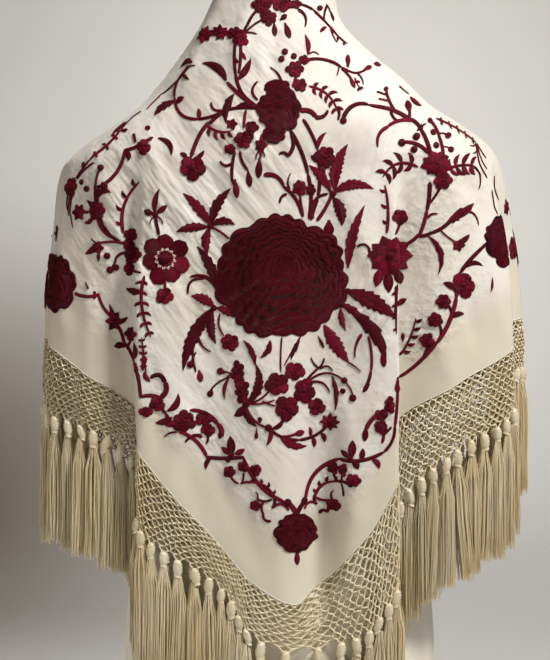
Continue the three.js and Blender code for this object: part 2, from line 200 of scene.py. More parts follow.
def cloth(angle, z):
    """The worn cloth: the solids' face moved along its normal by the listed creases,
    sum of depth * exp(-(distance / width)^2), each fading at its ends."""
    p = plain_cloth(angle, z)
    moved = np.zeros(p.shape[:-1])
    for side, x1, z1, x2, z2, width, depth in CREASES:
        dx, dz = x2 - x1, z2 - z1
        t = ((p[..., 0] - x1) * dx + (p[..., 2] - z1) * dz) / (dx * dx + dz * dz)
        off = ((p[..., 0] - x1) * dz - (p[..., 2] - z1) * dx) / math.hypot(dx, dz)
        off = off - CREASE_BEND * np.sin(np.pi * np.clip(t, 0, 1))
        along = smooth(t, -0.15, 0.25) * smooth(-t, -1.15, -0.75)
        here = (np.sign(p[..., 1]) == side) * smooth(np.abs(p[..., 1]), 8, 40)
        moved += depth * np.exp(-((off / width) ** 2)) * along * here
    return p + plain_normal(angle, z) * (moved * CREASE_SHARE - BELOW_FACE)[..., None]


def hem_z(angle):
    return curve(HEM, 1, angle)


def net_z(angle):
    return hem_z(angle) - curve(HEM, 2, angle)


# Meshes

def mesh_piece(name, points, faces, uv=None, values=None):
    """A piece from millimetre points and equal faces; uv and values are one row a point."""
    mesh = bpy.data.meshes.new(name)
    points, faces = np.asarray(points, float).reshape(-1, 3) * MM, np.asarray(faces, np.int32)
    corners = faces.shape[1]
    mesh.vertices.add(len(points))
    mesh.vertices.foreach_set("co", points.ravel())
    mesh.loops.add(faces.size)
    mesh.loops.foreach_set("vertex_index", faces.ravel())
    mesh.polygons.add(len(faces))
    mesh.polygons.foreach_set("loop_start", np.arange(0, faces.size, corners, dtype=np.int32))
    mesh.polygons.foreach_set("use_smooth", np.ones(len(faces), bool))
    mesh.update(calc_edges=True)
    if uv is not None:
        layer = mesh.uv_layers.new(name="UVMap")
        layer.data.foreach_set("uv", np.asarray(uv, float).reshape(-1, 2)[faces.ravel()].ravel())
    for key, value in (values or {}).items():
        layer = mesh.attributes.new(key, "FLOAT", "POINT")
        layer.data.foreach_set("value", np.ravel(value).astype(float))
    obj = bpy.data.objects.new(name, mesh)
    bpy.context.scene.collection.objects.link(obj)
    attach(obj, "root")
    return obj


def grid_faces(rows, columns, closed=False):
    """Quads of a grid of rows by columns; closed joins the last column to the first."""
    last = columns if closed else columns - 1
    r, c = (k.ravel() for k in np.meshgrid(np.arange(rows - 1), np.arange(last), indexing="ij"))
    d = (c + 1) % columns
    low, high = r * columns, (r + 1) * columns
    return np.stack([low + c, high + c, high + d, low + d], 1)


def repeated(faces, count, size):
    """The faces of one part for count parts of size points each."""
    return (faces[None] + (np.arange(count) * size)[:, None, None]).reshape(-1, 4)


def tubes(paths, radii, sides):
    """Tubes round many paths of equal length: points are path + r (cos a U + sin a V), with U and V
    square to the path. Returns points and faces."""
    paths = np.asarray(paths, float)
    count, steps, _ = paths.shape
    along = np.gradient(paths, axis=1)
    along /= np.linalg.norm(along, axis=2, keepdims=True) + 1e-9
    out = paths * (1, 1, 0) + 1e-6
    out /= np.linalg.norm(out, axis=2, keepdims=True)
    u = np.cross(along, out)
    u /= np.linalg.norm(u, axis=2, keepdims=True) + 1e-9
    v = np.cross(u, along)
    a = np.arange(sides) * 2 * np.pi / sides + 0.4
    r = np.broadcast_to(radii, (count, steps))[..., None, None]
    ring = np.cos(a)[:, None] * u[:, :, None] + np.sin(a)[:, None] * v[:, :, None]
    points = paths[:, :, None] + r * ring
    faces = grid_faces(steps, sides, True)[:, ::-1]
    return points.reshape(-1, 3), repeated(faces, count, steps * sides)


def joined(parts):
    """Several (points, faces) as one."""
    points, faces, start = [], [], 0
    for p, f in parts:
        points.append(p)
        faces.append(f + start)
        start += len(p)
    return np.concatenate(points), np.concatenate(faces)


# Materials

def colour(code):
    """sRGB hex to linear red, green, blue and alpha."""
    c = np.array([int(code[i:i + 2], 16) for i in (1, 3, 5)]) / 255
    return (*np.where(c <= 0.04045, c / 12.92, ((c + 0.055) / 1.055) ** 2.4), 1)


class Nodes:
    """A material's nodes. add() makes one with its settings and sockets: a socket is linked, and
    any other value is set on it."""

    def __init__(self, name):
        self.material = bpy.data.materials.new(name)
        self.material.use_nodes = True
        self.tree = self.material.node_tree
        self.tree.nodes.clear()

    def add(self, kind, inputs=None, **settings):
        node = self.tree.nodes.new("ShaderNode" + kind)
        for key, value in settings.items():
            setattr(node, key, value)
        for key, value in (inputs or {}).items():
            if isinstance(value, bpy.types.NodeSocket):
                self.tree.links.new(value, node.inputs[key])
            else:
                node.inputs[key].default_value = value
        return node

    def mix(self, share, a, b):
        return self.add("Mix", {0: share, 6: a, 7: b}, data_type="RGBA").outputs[2]

    def times(self, a, b):
        return self.add("Math", {0: a, 1: b}, operation="MULTIPLY").outputs[0]

    def at(self, stretch=(1, 1, 1), turn=(0, 0, 0)):
        """Object coordinates in metres, turned and stretched."""
        place = self.add("TexCoord").outputs["Object"]
        turn = [math.radians(t) for t in turn]
        turned = self.add("Mapping", {"Vector": place, "Rotation": turn}).outputs[0]
        return self.add("Mapping", {"Vector": turned, "Scale": stretch}).outputs[0]

    def noise(self, scale, vector=None, detail=2.0, rough=0.5):
        return self.add("TexNoise", {
            "Scale": scale, "Detail": detail, "Roughness": rough,
            "Vector": vector or self.at()}).outputs[0]

    def bent(self, vector):
        """The vector moved by a slow noise, so that what follows it wavers."""
        slow = self.add("TexNoise", {"Scale": 7.0, "Detail": 1.0, "Vector": self.at()})
        sway = self.add("VectorMath", {0: slow.outputs["Color"], 1: (0.02, 0.02, 0.02)},
                        operation="MULTIPLY").outputs[0]
        return self.add("VectorMath", {0: vector, 1: sway}, operation="ADD").outputs[0]

    def ramp(self, value, low, high):
        return self.add("MapRange", {0: value, 1: low, 2: high},
                        interpolation_type="SMOOTHSTEP").outputs[0]

    def bump(self, height, strength, distance, under=None):
        inputs = {"Height": height, "Strength": strength, "Distance": distance}
        if under is not None:
            inputs["Normal"] = under
        return self.add("Bump", inputs).outputs[0]

    def attribute(self, name):
        return self.add("Attribute", attribute_name=name).outputs["Fac"]

    def finish(self, inputs, through=None):
        """A principled surface, mixed with a share of light through a colour where there is one:
        through is the share and the inputs of the translucent part."""
        surface = self.add("BsdfPrincipled", inputs).outputs[0]
        if through:
            share, clear = through
            clear = self.add("BsdfTranslucent", clear).outputs[0]
            surface = self.add("MixShader", {0: share, 1: surface, 2: clear}).outputs[0]
        self.add("OutputMaterial", {"Surface": surface})
        return self.material


def crepe_material():
    """Silk crepe: a fine pebbled grain, pull crinkles round the stitching, soft sheen, a little
    light through it, and painted shade on the plain border near the hem."""
    n = Nodes("silk crepe")
    ivory = n.mix(n.ramp(n.noise(9, detail=3), 0.35, 0.7), colour("#E8E3DA"), colour("#DFD8CA"))
    ivory = n.mix(n.times(n.attribute("show_through"), 0.32), ivory, colour("#9C8480"))
    # painted shade: the plain border near the hem, which hangs inwards, is tinted darker and warmer
    ivory = n.mix(n.times(n.attribute("border"), 0.6), ivory, colour("#DDD1B8"))
    grain = n.noise(1500, detail=3, rough=0.7)
    left = n.noise(62, n.bent(n.at((1, 0.6, 0.27), (0, 38, 0))), 2, 0.5)
    right = n.noise(66, n.bent(n.at((1, 0.6, 0.3), (0, -32, 0))), 2, 0.5)
    crinkle = n.add("Mix", {0: n.attribute("right_side"), 2: left, 3: right}, data_type="FLOAT")
    crinkle = n.times(crinkle.outputs[0], n.attribute("pull"))
    pucker = n.times(n.noise(105, detail=2), n.attribute("pucker"))
    bump = n.bump(crinkle, 0.85, 0.010)
    bump = n.bump(pucker, 0.7, 0.0045, bump)
    bump = n.bump(grain, 0.22, 0.0006, bump)
    return n.finish({
        "Base Color": ivory, "Roughness": 0.6, "Sheen Weight": 0.25, "Sheen Roughness": 0.4,
        "Specular IOR Level": 0.35, "Normal": bump},
        (0.16, {"Color": colour("#EBD9B4"), "Normal": bump}))


def cord_material(name, light, dark, rough):
    """Glossy ivory silk: fine twist lines along each thread and slow changes of tone."""
    n = Nodes(name)
    tone = n.ramp(n.noise(28, n.at((1, 1, 0.35)), 2), 0.3, 0.7)
    fine = n.noise(1400, n.at((1, 1, 0.25)), 1)
    base = n.mix(tone, colour(light), colour(dark))
    base = n.mix(n.times(fine, 0.12), base, colour("#C9B585"))
    return n.finish({
        "Base Color": base, "Roughness": rough, "Sheen Weight": 0.2, "Anisotropic": 0.5,
        "Specular IOR Level": 0.65, "Normal": n.bump(fine, 0.35, 0.0004)},
        (0.38, {"Color": colour("#FFF1CC")}))


def linen_material():
    """Cream linen jersey stretched on the form: crossed threads about 0.7 mm apart."""
    n = Nodes("form linen")
    across = n.noise(1500, n.at((0.12, 0.12, 1)), 1)
    down = n.noise(1500, n.at((1, 1, 0.1)), 1)
    weave = n.add("Math", {0: across, 1: down}, operation="MAXIMUM").outputs[0]
    base = n.mix(n.ramp(n.noise(14), 0.3, 0.7), colour("#F8F1E2"), colour("#EFE6D4"))
    base = n.mix(n.times(weave, 0.12), base, colour("#A89B82"))
    return n.finish({
        "Base Color": base, "Roughness": 0.9, "Sheen Weight": 0.15,
        "Normal": n.bump(weave, 0.4, 0.0006)})


def beech_material():
    """Waxed beech: long grain with short dark flecks."""
    n = Nodes("waxed beech")
    grain = n.noise(60, n.at((1, 1, 0.08)), 4, 0.6)
    fleck = n.ramp(n.noise(500, n.at((1, 1, 0.12)), 1), 0.62, 0.7)
    base = n.mix(grain, colour("#C79A66"), colour("#9F7345"))
    base = n.mix(n.times(fleck, 0.5), base, colour("#6E4A28"))
    return n.finish({
        "Base Color": base, "Roughness": 0.42, "Coat Weight": 0.3, "Coat Roughness": 0.25,
        "Normal": n.bump(grain, 0.15, 0.0006)})


def metal_material():
    """Black powder coat: a fine orange peel, greyer with handling."""
    n = Nodes("black powder coat")
    base = n.mix(n.ramp(n.noise(20), 0.5, 0.75), colour("#262524"), colour("#363432"))
    return n.finish({
        "Base Color": base, "Metallic": 0.0, "Roughness": 0.48,
        "Normal": n.bump(n.noise(900), 0.25, 0.0004)})


CREPE = crepe_material()
NET_SILK = cord_material("net silk", "#FFF7E0", "#F3E4BE", 0.36)
FRINGE_SILK = cord_material("fringe silk", "#FFF6DC", "#F5E5BC", 0.38)
KNOT_SILK = cord_material("knot silk", "#FFF8E6", "#F3E7C8", 0.24)
LINEN = linen_material()
BEECH = beech_material()
METAL = metal_material()


def dress(obj, material, *nodes, slot=None):
    obj.data.materials.append(material)
    if nodes:
        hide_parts(*nodes)
    return obj


# Camera: behind the back, level, at the photograph's distance
CAMERA = np.array((-5.0, -1350.0, 549.0))
LENS, SENSOR = 70.1, 36.0
MIDDLE_X, MIDDLE_Y = 275, 330
PIXELS = 2 * MIDDLE_Y * LENS / SENSOR


def project(p):
    """Millimetre points to pixels of the 550 x 660 frame."""
    d = p - CAMERA
    return np.stack([MIDDLE_X + PIXELS * d[..., 0] / d[..., 1],
                     MIDDLE_Y - PIXELS * d[..., 2] / d[..., 1]], -1)


# The cloth: the square folded on its diagonal, its outer layer, the fold and the layer beneath
COLUMNS, OUTER_ROWS, INNER_ROWS = 325, 126, 38
INNER_SHORT = 5


def column_angles():
    """Angles of the cloth's columns, closer together where the folds are deep: equal steps of
    angle + fold path length."""
    fine = np.linspace(-FRONT_EDGE, FRONT_EDGE, 3261)
    p = plain_cloth(fine, np.full_like(fine, 520.0))
    walk = walked_along(p) + np.cumsum(np.where(np.abs(fine) < 100, 0.35, 0.0))
    return np.interp(np.linspace(0, walk[-1], COLUMNS), walk, fine)


def edge_share(angle, z):
    """Angle at height z of the column that ends at angle on the hem: the front edges lean."""
    return angle * curve(LEVELS, 6, z) / curve(LEVELS, 6, hem_z(angle))


def make_cloth():
    """Points, faces and layer (0 beneath, 1 outside) of one grid that runs up the inner layer, over
    the fold and down the outer one."""
    angles = column_angles()[None]
    top = FOLD_Z - 1
    t = np.linspace(0, 1, OUTER_ROWS)[:, None]
    outer_z = top + t * (hem_z(angles) - top)
    outer = cloth(edge_share(angles, outer_z), outer_z)
    u = np.linspace(0, 1, INNER_ROWS)[:, None]
    inner_z = top + u * (hem_z(angles) + INNER_SHORT - top)
    inner_a = edge_share(angles, inner_z)
    inward = 1.25 + 0.5 * smooth(u, 0.1, 0.5)
    inner = cloth(inner_a, inner_z) - plain_normal(inner_a, inner_z) * inward[..., None]
    lip = (outer[:1] + inner[:1]) / 2 + (0, 0, 0.7)
    points = np.concatenate([inner[::-1], lip, outer])
    rows, columns = points.shape[:2]
    layer = np.repeat([0.0, 1.0], [len(inner) + 1, len(outer)])[:, None] * np.ones(columns)
    return points, grid_faces(rows, columns), layer


cloth_points, cloth_faces, cloth_layer = make_cloth()


def cloth_values(points, layer):
    """Per point: the plain border near the hem, where the crepe paints shade, faint work of the
    layer beneath that shows through, pull crinkles, puckers round the stitching, and which side of
    the middle it is on."""
    px = project(points)
    border = 1 - smooth(points[..., 2] - hem_z(angle_of(points)), 45, 75)
    back = points[..., 1] < 0

    def patches(spots, power):
        """Sum of strength * exp(-(distance / size)^(2 power)) over spots in the frame: x, y, size,
        strength."""
        return sum(d * np.exp(-(((px[..., 0] - x) ** 2 + (px[..., 1] - y) ** 2) / s**2) ** power)
                   for x, y, s, d in spots)

    shown = patches([(350, 150, 26, 0.8), (300, 42, 20, 0.5), (232, 62, 22, 0.5),
                     (205, 130, 24, 0.45), (385, 118, 22, 0.5), (258, 170, 20, 0.4),
                     (335, 190, 16, 0.3), (180, 92, 18, 0.5)], 1.5) * back * layer
    pull = patches([(165, 250, 75, 1.0), (130, 190, 50, 0.8), (365, 305, 40, 1.0),
                    (300, 60, 80, 0.5), (240, 150, 60, 0.6), (420, 160, 60, 0.7),
                    (230, 420, 60, 0.4), (340, 440, 50, 0.4)], 1)
    pull = np.clip(0.12 + pull * np.where(back, 1, 0.6), 0, 1.2) * (1 - 0.8 * border)
    return dict(border=border, show_through=shown, pull=pull,
                right_side=smooth(points[..., 0], -20, 60))


SHAWL = mesh_piece("shawl_crepe", cloth_points, cloth_faces,
                   values=cloth_values(cloth_points, cloth_layer))
dress(SHAWL, CREPE, "shawl_cloth", slot="crepe")

# The hand-rolled hem: a thin tube along the lower edge of each layer
HEM_RADIUS, HEM_SIDES = 0.45, 6
hem_edges = np.stack([cloth_points[-1], cloth_points[0]])
HEM_ROLL = dress(mesh_piece("shawl_rolled_hem", *tubes(hem_edges, HEM_RADIUS, HEM_SIDES)), CREPE,
                 slot="crepe")

# The embroidery. Its motifs are drawn on a chart: x and y are the frame's pixels where the
# back faces the camera, and past the turn to the sides x goes on round the form.
CHART_STEP_Z, CHART_STEP_A = 3.0, 0.25
CHART_Z = np.arange(250.0, 940.0, CHART_STEP_Z)
CHART_A = np.arange(-166.0, 166.1, CHART_STEP_A)
CHART_MIDDLE, MM_A_PIXEL = 280, 0.953
FACING = 200.0


def make_chart():
    """Chart x of every angle at every height: the furthest pixel from the middle so far, and the
    length walked once a side turns away."""
    a, z = np.meshgrid(CHART_A, CHART_Z)
    p = plain_cloth(a, z)
    px = project(p)[..., 0] - CHART_MIDDLE
    middle = len(CHART_A) // 2
    chart = np.zeros_like(px)
    for side in (-1, 1):
        part = slice(middle, None) if side > 0 else slice(middle, None, -1)
        seen = np.maximum.accumulate(side * px[:, part], axis=1)
        step = np.linalg.norm(np.diff(p[:, part], axis=1), axis=2) / MM_A_PIXEL
        walk = np.concatenate([np.zeros((len(px), 1)), np.cumsum(step, 1)], 1)
        limit = np.minimum(FACING, 0.86 * seen.max(1, keepdims=True))
        beyond = seen > limit
        start = np.take_along_axis(walk, np.argmax(beyond, 1)[:, None], 1)
        chart[:, part] = side * np.where(beyond, limit + walk - start, seen)
    return chart + CHART_MIDDLE + 1e-4 * np.arange(len(CHART_A))


# One rising list of keys for all rows: chart x, made positive, plus a stride a row
KEY_START, KEY_STRIDE = 2000, 6000
KEYS = (make_chart() + KEY_START + KEY_STRIDE * np.arange(len(CHART_Z))[:, None]).ravel()


def chart_angle(x, z):
    """Angle whose chart x this is at height z, between the chart's rows and columns."""
    row = np.clip((z - CHART_Z[0]) / CHART_STEP_Z, 0, len(CHART_Z) - 1.001)
    low = np.floor(row).astype(int)
    found = []
    for r in (low, low + 1):
        key = np.clip(x, -1900, 3900) + KEY_START + KEY_STRIDE * r
        i = np.clip(np.searchsorted(KEYS, key), r * len(CHART_A) + 1, (r + 1) * len(CHART_A) - 1)
        t = np.clip((key - KEYS[i - 1]) / (KEYS[i] - KEYS[i - 1]), 0, 1)
        found.append(CHART_A[(i - 1) % len(CHART_A)] + CHART_STEP_A * t)
    return found[0] + (found[1] - found[0]) * (row - low)


def on_chart(x, y):
    """Angle and height of a place on the chart; the scale follows the depth of the cloth there."""
    depth = np.full(np.shape(x), -110.0)
    for _ in range(4):
        z = CAMERA[2] - (y - MIDDLE_Y) * (np.clip(depth, -130, -55) - CAMERA[1]) / PIXELS
        angle = chart_angle(x, z)
        depth = plain_cloth(angle, z)[..., 1]
    return angle, z


# Stems: from x1, y1 to x2, y2, bulge to the right hand as a share of the length, widths
STEMS = np.array([
    (236, 42, 236, 76, .03, 3.2, 3.2), (241, 44, 239, 74, -.03, 3, 3),
    (236, 74, 257, 106, .14, 3.6, 4), (227, 82, 258, 108, .04, 4, 4),
    (243, 36, 259, 8, -.06, 3, 2.6), (246, 33, 266, 18, -.1, 2.4, 2),
    (244, 34, 257, 34, -.12, 2.8, 1.2), (240, 34, 200, 33, .08, 3.2, 2.4),
    (258, 100, 258, 81, -.3, 3, 2.4), (282, 84, 270, 66, .12, 3.2, 1.2),
    (294, 84, 296, 72, .05, 3.2, 2.8), (303, 61, 341, 68, -.14, 3.4, 2.8),
    (341, 68, 367, 69, .14, 2.8, 2.2), (341, 69, 353, 82, -.04, 2.6, 3),
    (357, 72, 364, 84, -.14, 2, 1.2), (347, 67, 348, 60, 0, 2.2, 2), (339, 67, 337, 76, 0, 1.8, 1),
    (309, 54, 319, 55, -.25, 1.8, 1), (294, 3, 313, 10, -.08, 2.8, 2.6),
    (313, 10, 347, 42, .03, 2.6, 2.2), (327, 3, 323, 22, .05, 2.4, 2.2),
    (326, 2, 333, 17, -.05, 2.4, 2), (330, 28, 337, 43, .06, 2.2, 1.6),
    (298, 9, 305, 27, -.22, 4, 1.6), (338, 106, 338, 120, -.1, 3.4, 2.4),
    (300, 111, 316, 117, -.2, 5.4, 5), (315, 117, 328, 110, .22, 5, 3),
    (303, 119, 318, 150, -.04, 3.8, 3.4), (318, 150, 318, 199, -.04, 3.6, 3.8),
    (318, 199, 311, 220, .03, 3.6, 4), (290, 130, 308, 174, -.05, 4.4, 3.8),
    (308, 174, 309, 219, -.06, 4, 4), (291, 133, 287, 157, -.18, 4, 4),
    (288, 156, 279, 154, .25, 4.2, 2.6), (324, 165, 332, 193, .1, 3.6, 3.4),
    (332, 195, 317, 221, -.03, 3.4, 4), (328, 194, 315, 200, .1, 3, 3),
    (315, 199, 313, 219, .06, 3, 3.4), (264, 175, 284, 187, -.22, 5.4, 3.6),
    (283, 186, 303, 217, -.10, 3.6, 4.2), (287, 194, 280, 203, .2, 3.2, 2.4),
    (290, 190, 291, 173, -.15, 3, 1), (300, 192, 303, 214, .02, 2.4, 3),
    (262, 134, 261, 158, .04, 3, 2.4), (261, 150, 265, 157, -.1, 2.6, 1),
    (260, 150, 256, 160, .12, 2.4, 1), (261, 156, 259, 165, .05, 2, 2),
    (246, 110, 244, 128, .03, 3, 3), (235, 151, 232, 180, .04, 3.2, 3.4),
    (232, 178, 236, 186, .1, 3.2, 3.2), (240, 151, 248, 170, .1, 3, 3),
    (232, 163, 220, 161, -.3, 3.2, 2.6), (257, 108, 226, 110, .05, 4.2, 3.2),
    (226, 110, 209, 124, .04, 4, 4), (209, 122, 191, 157, .07, 4.2, 4.2),
    (226, 110, 197, 119, -.06, 3.4, 3.4), (198, 119, 174, 96, -.24, 3.4, 3),
    (174, 97, 185, 70, -.12, 3, 2.6), (185, 70, 196, 66, -.1, 2.2, 1.4),
    (181, 76, 188, 66, 0, 2.2, 2), (190, 67, 158, 93, -.04, 2.2, 2),
    (158, 93, 145, 109, .02, 2, 1.6), (222, 110, 211, 102, -.3, 3, 2.4),
    (137, 111, 120, 131, .08, 2.4, 2.2), (120, 130, 88, 161, -.04, 2.6, 2.4),
    (88, 161, 70, 178, .02, 3, 2.6), (95, 163, 72, 179, .06, 2.4, 2.4),
    (153, 137, 124, 150, -.08, 3.6, 3.6), (125, 149, 100, 188, -.12, 3.6, 3.6),
    (100, 186, 104, 228, .1, 3.8, 3.8), (104, 226, 121, 242, .1, 3.6, 3.4),
    (97, 214, 112, 238, .14, 3.2, 3), (101, 169, 96, 186, .05, 2.6, 2.6),
    (96, 184, 96, 205, .03, 3, 3), (136, 143, 134, 134, 0, 3, 3.2),
    (130, 245, 98, 243, .06, 3.2, 2.4), (98, 243, 88, 252, .06, 2.6, 2.2),
    (99, 244, 90, 238, -.1, 2.2, 1.4), (130, 253, 116, 258, .14, 3.2, 2.8),
    (116, 257, 112, 267, -.1, 2.6, 2.2), (105, 186, 96, 187, .05, 1.8, 1.8),
    (132, 262, 142, 273, .2, 3.2, 2.4), (159, 235, 155, 216, 0, 3.6, 3),
    (155, 216, 150, 225, .15, 2, 1), (156, 216, 163, 224, -.15, 2, 1),
    (211, 227, 229, 239, -.05, 2.6, 2.4), (214, 284, 190, 277, .18, 5, 2.4),
    (204, 279, 188, 294, .32, 3, 2.4), (165, 282, 165, 292, 0, 3, 3),
    (220, 314, 224, 336, .14, 2.2, 2), (196, 332, 196, 372, .08, 2.6, 2.4),
    (198, 336, 211, 352, .14, 3.2, 1.4), (196, 352, 191, 362, 0, 1.8, 1.8),
    (343, 119, 370, 104, -.22, 5, 3.6), (369, 104, 410, 121, -.08, 3.4, 4.2),
    (409, 120, 421, 132, -.12, 4, 4.2), (420, 130, 430, 157, -.06, 4.2, 4.4),
    (386, 90, 395, 111, .05, 2.6, 3), (377, 91, 387, 95, 0, 2, 2), (379, 98, 389, 101, 0, 2, 2),
    (378, 147, 389, 126, -.2, 2.4, 4.4), (388, 126, 412, 122, -.14, 3.6, 3.6),
    (391, 111, 398, 121, .1, 3, 2.4), (409, 120, 409, 110, 0, 3, 3),
    (402, 142, 428, 154, -.14, 3.6, 3.8), (431, 120, 440, 136, -.08, 4, 3.6),
    (439, 134, 443, 156, -.06, 4, 4), (421, 132, 426, 124, -.2, 3.4, 1.6),
    (440, 133, 448, 134, -.2, 1.8, 1.6), (443, 147, 451, 148, -.2, 1.8, 1.6),
    (474, 166, 480, 189, -.25, 3.2, 1.6), (484, 143, 473, 145, -.15, 2, 1),
    (484, 146, 475, 153, -.2, 2.6, 1), (484, 143, 494, 178, .16, 2.8, 1.8),
    (485, 144, 495, 169, .12, 2, 1.2), (486, 143, 497, 158, .08, 2, 1.2),
    (437, 117, 485, 142, -.03, 2.8, 2.6), (399, 86, 410, 94, .05, 1.8, 1.4),
    (510, 176, 514, 200, .25, 2.4, 1.4), (430, 182, 427, 211, -.03, 4.6, 3.8),
    (427, 210, 419, 236, -.04, 3.8, 3.8), (441, 186, 429, 204, -.04, 2.8, 2.6),
    (419, 234, 404, 245, -.08, 3.8, 3.4), (419, 236, 432, 232, .1, 3.6, 3.6),
    (431, 233, 452, 219, .08, 3.6, 4.2), (428, 218, 438, 214, -.2, 3, 1.2),
    (439, 228, 456, 242, .05, 1.8, 1.8), (461, 212, 479, 225, -.28, 3.4, 1.4),
    (357, 247, 370, 250, -.3, 2.6, 2.2), (369, 248, 375, 266, .05, 3, 2),
    (400, 222, 396, 234, -.05, 3, 2.6), (398, 284, 397, 334, .02, 2.8, 1.6),
    (397, 300, 395, 316, 0, 3.4, 2), (488, 243, 461, 273, .04, 3.8, 4.2),
    (461, 272, 457, 298, .03, 4, 4.4), (457, 296, 437, 343, -.06, 4.6, 4.6),
    (437, 342, 398, 378, -.05, 4.6, 3), (447, 304, 452, 318, -.12, 2.8, 3.4),
    (438, 322, 441, 336, -.1, 2.6, 3.4), (429, 344, 424, 356, 0, 3, 3),
    (374, 340, 384, 354, -.06, 3.4, 2.4), (368, 336, 371, 372, -.06, 3, 2.8),
    (371, 371, 364, 390, -.06, 3, 3.8), (362, 334, 355, 358, .1, 4, 1.4),
    (398, 377, 395, 428, -.02, 3, 3.2), (395, 426, 384, 452, -.12, 3, 3.4),
    (384, 452, 338, 459, -.10, 3.6, 4.2), (339, 459, 307, 502, .16, 4.2, 4.2),
    (392, 402, 383, 414, -.05, 3.2, 3.2), (388, 412, 366, 430, .16, 4.4, 4.8),
    (390, 396, 386, 410, 0, 3.4, 3.4), (380, 427, 382, 443, -.16, 4, 3),
    (392, 427, 384, 434, 0, 2, 4), (306, 502, 297, 514, .04, 5, 6),
    (286, 501, 297, 514, -.04, 5, 6), (306, 510, 319, 505, -.3, 3.2, 2.6),
    (319, 506, 317, 496, -.14, 3, 3), (337, 482, 350, 484, -.1, 3.4, 3.2),
    (341, 483, 344, 496, -.05, 1.8, 3), (317, 498, 333, 500, .16, 2.4, 2.8),
    (332, 500, 333, 491, -.2, 2.6, 1.2), (326, 501, 327, 514, -.16, 2.8, 2.8),
    (328, 513, 321, 515, .3, 2.8, 3.4), (338, 482, 333, 474, -.1, 2.6, 2.4),
    (341, 482, 342, 475, 0, 2.2, 2.2), (285, 502, 243, 457, -.12, 4.2, 4.2),
    (244, 457, 206, 457, -.04, 4, 4), (207, 457, 178, 431, .12, 4, 4),
    (288, 510, 272, 508, .34, 3.2, 2.6), (272, 508, 274, 498, .14, 3, 3),
    (251, 483, 240, 484, .1, 3, 2.6), (272, 499, 257, 499, -.16, 2.4, 2.6),
    (257, 500, 255, 492, .2, 2.4, 1.2), (264, 501, 264, 515, .18, 2.8, 2.6),
    (263, 514, 271, 521, .3, 2.6, 3.2), (250, 482, 255, 474, .12, 2.4, 2.2),
    (241, 484, 243, 473, .08, 2.2, 2.2), (238, 484, 230, 476, -.1, 2.4, 2.4),
    (177, 432, 164, 437, .12, 2.6, 1.2), (185, 442, 202, 436, -.18, 2.6, 4),
    (205, 431, 206, 444, -.2, 3.4, 2), (184, 412, 189, 424, 0, 3, 3),
    (190, 410, 218, 425, -.14, 3.6, 5), (217, 424, 220, 437, -.2, 5, 6),
    (178, 430, 166, 414, -.06, 4, 4), (166, 414, 152, 400, .02, 3.6, 4),
    (160, 399, 141, 397, .12, 5, 3.4), (160, 398, 165, 382, .22, 5.4, 5.4),
    (165, 383, 150, 378, .35, 5.2, 4), (141, 398, 138, 372, .02, 3.2, 3.2),
    (138, 374, 124, 342, .06, 3.4, 3.4), (124, 343, 115, 322, .06, 3.4, 3.4),
    (131, 340, 127, 348, 0, 2.6, 2.6), (136, 354, 134, 366, 0, 2.4, 2.4),
    (113, 318, 98, 293, -.10, 3.2, 3), (99, 294, 74, 293, -.12, 3, 4),
    (88, 289, 85, 282, 0, 2.4, 1), (94, 291, 95, 297, 0, 2.6, 2.6),
    (142, 370, 142, 337, .04, 2.4, 1.2), (146, 376, 145, 362, 0, 1.6, 1.4),
    (282, 337, 281, 372, .02, 2, 1.8), (301, 336, 284, 366, 0, 2.2, 1.6),
    (348, 362, 361, 372, -.04, 2.2, 1), (231, 377, 210, 391, .1, 2, 1.8),
    (232, 374, 223, 371, 0, 1.8, 1.8), (247, 404, 275, 400, .06, 2.2, 1.8),
    (247, 404, 270, 390, .1, 2.6, 2), (262, 401, 276, 406, .05, 2, 1.8),
    (246, 406, 268, 428, .14, 3, 2.4), (268, 427, 300, 440, .12, 2.8, 3.6),
    (299, 440, 329, 424, .12, 3.4, 2.8), (282, 436, 298, 433, .08, 2, 3),
    (306, 382, 319, 368, -.05, 2.8, 2.6), (319, 368, 311, 357, -.1, 2.4, 1.2),
    (319, 368, 324, 358, .1, 2.6, 1.8), (320, 369, 333, 371, -.3, 2.4, 1.4),
    (308, 382, 344, 380, -.22, 2.6, 2), (343, 380, 353, 396, -.1, 2, 1.6),
    (309, 383, 330, 393, -.25, 3, 1.6), (66, 194, 69, 228, .1, 2.6, 1.4),
    (62, 195, 62, 216, .05, 3.4, 1.2), (58, 195, 60, 210, .1, 3, 1.2),
    (88, 212, 78, 212, 0, 3, 2.6), (240, 384, 247, 404, .1, 3, 3),
    (226, 378, 232, 373, 0, 1.6, 1.6), (44, 258, 40, 300, .15, 2.4, 1.6),
    (500, 190, 506, 214, .1, 2, 1.2), (256, 433, 257, 428, 0, 1.4, 1.4),
], float)

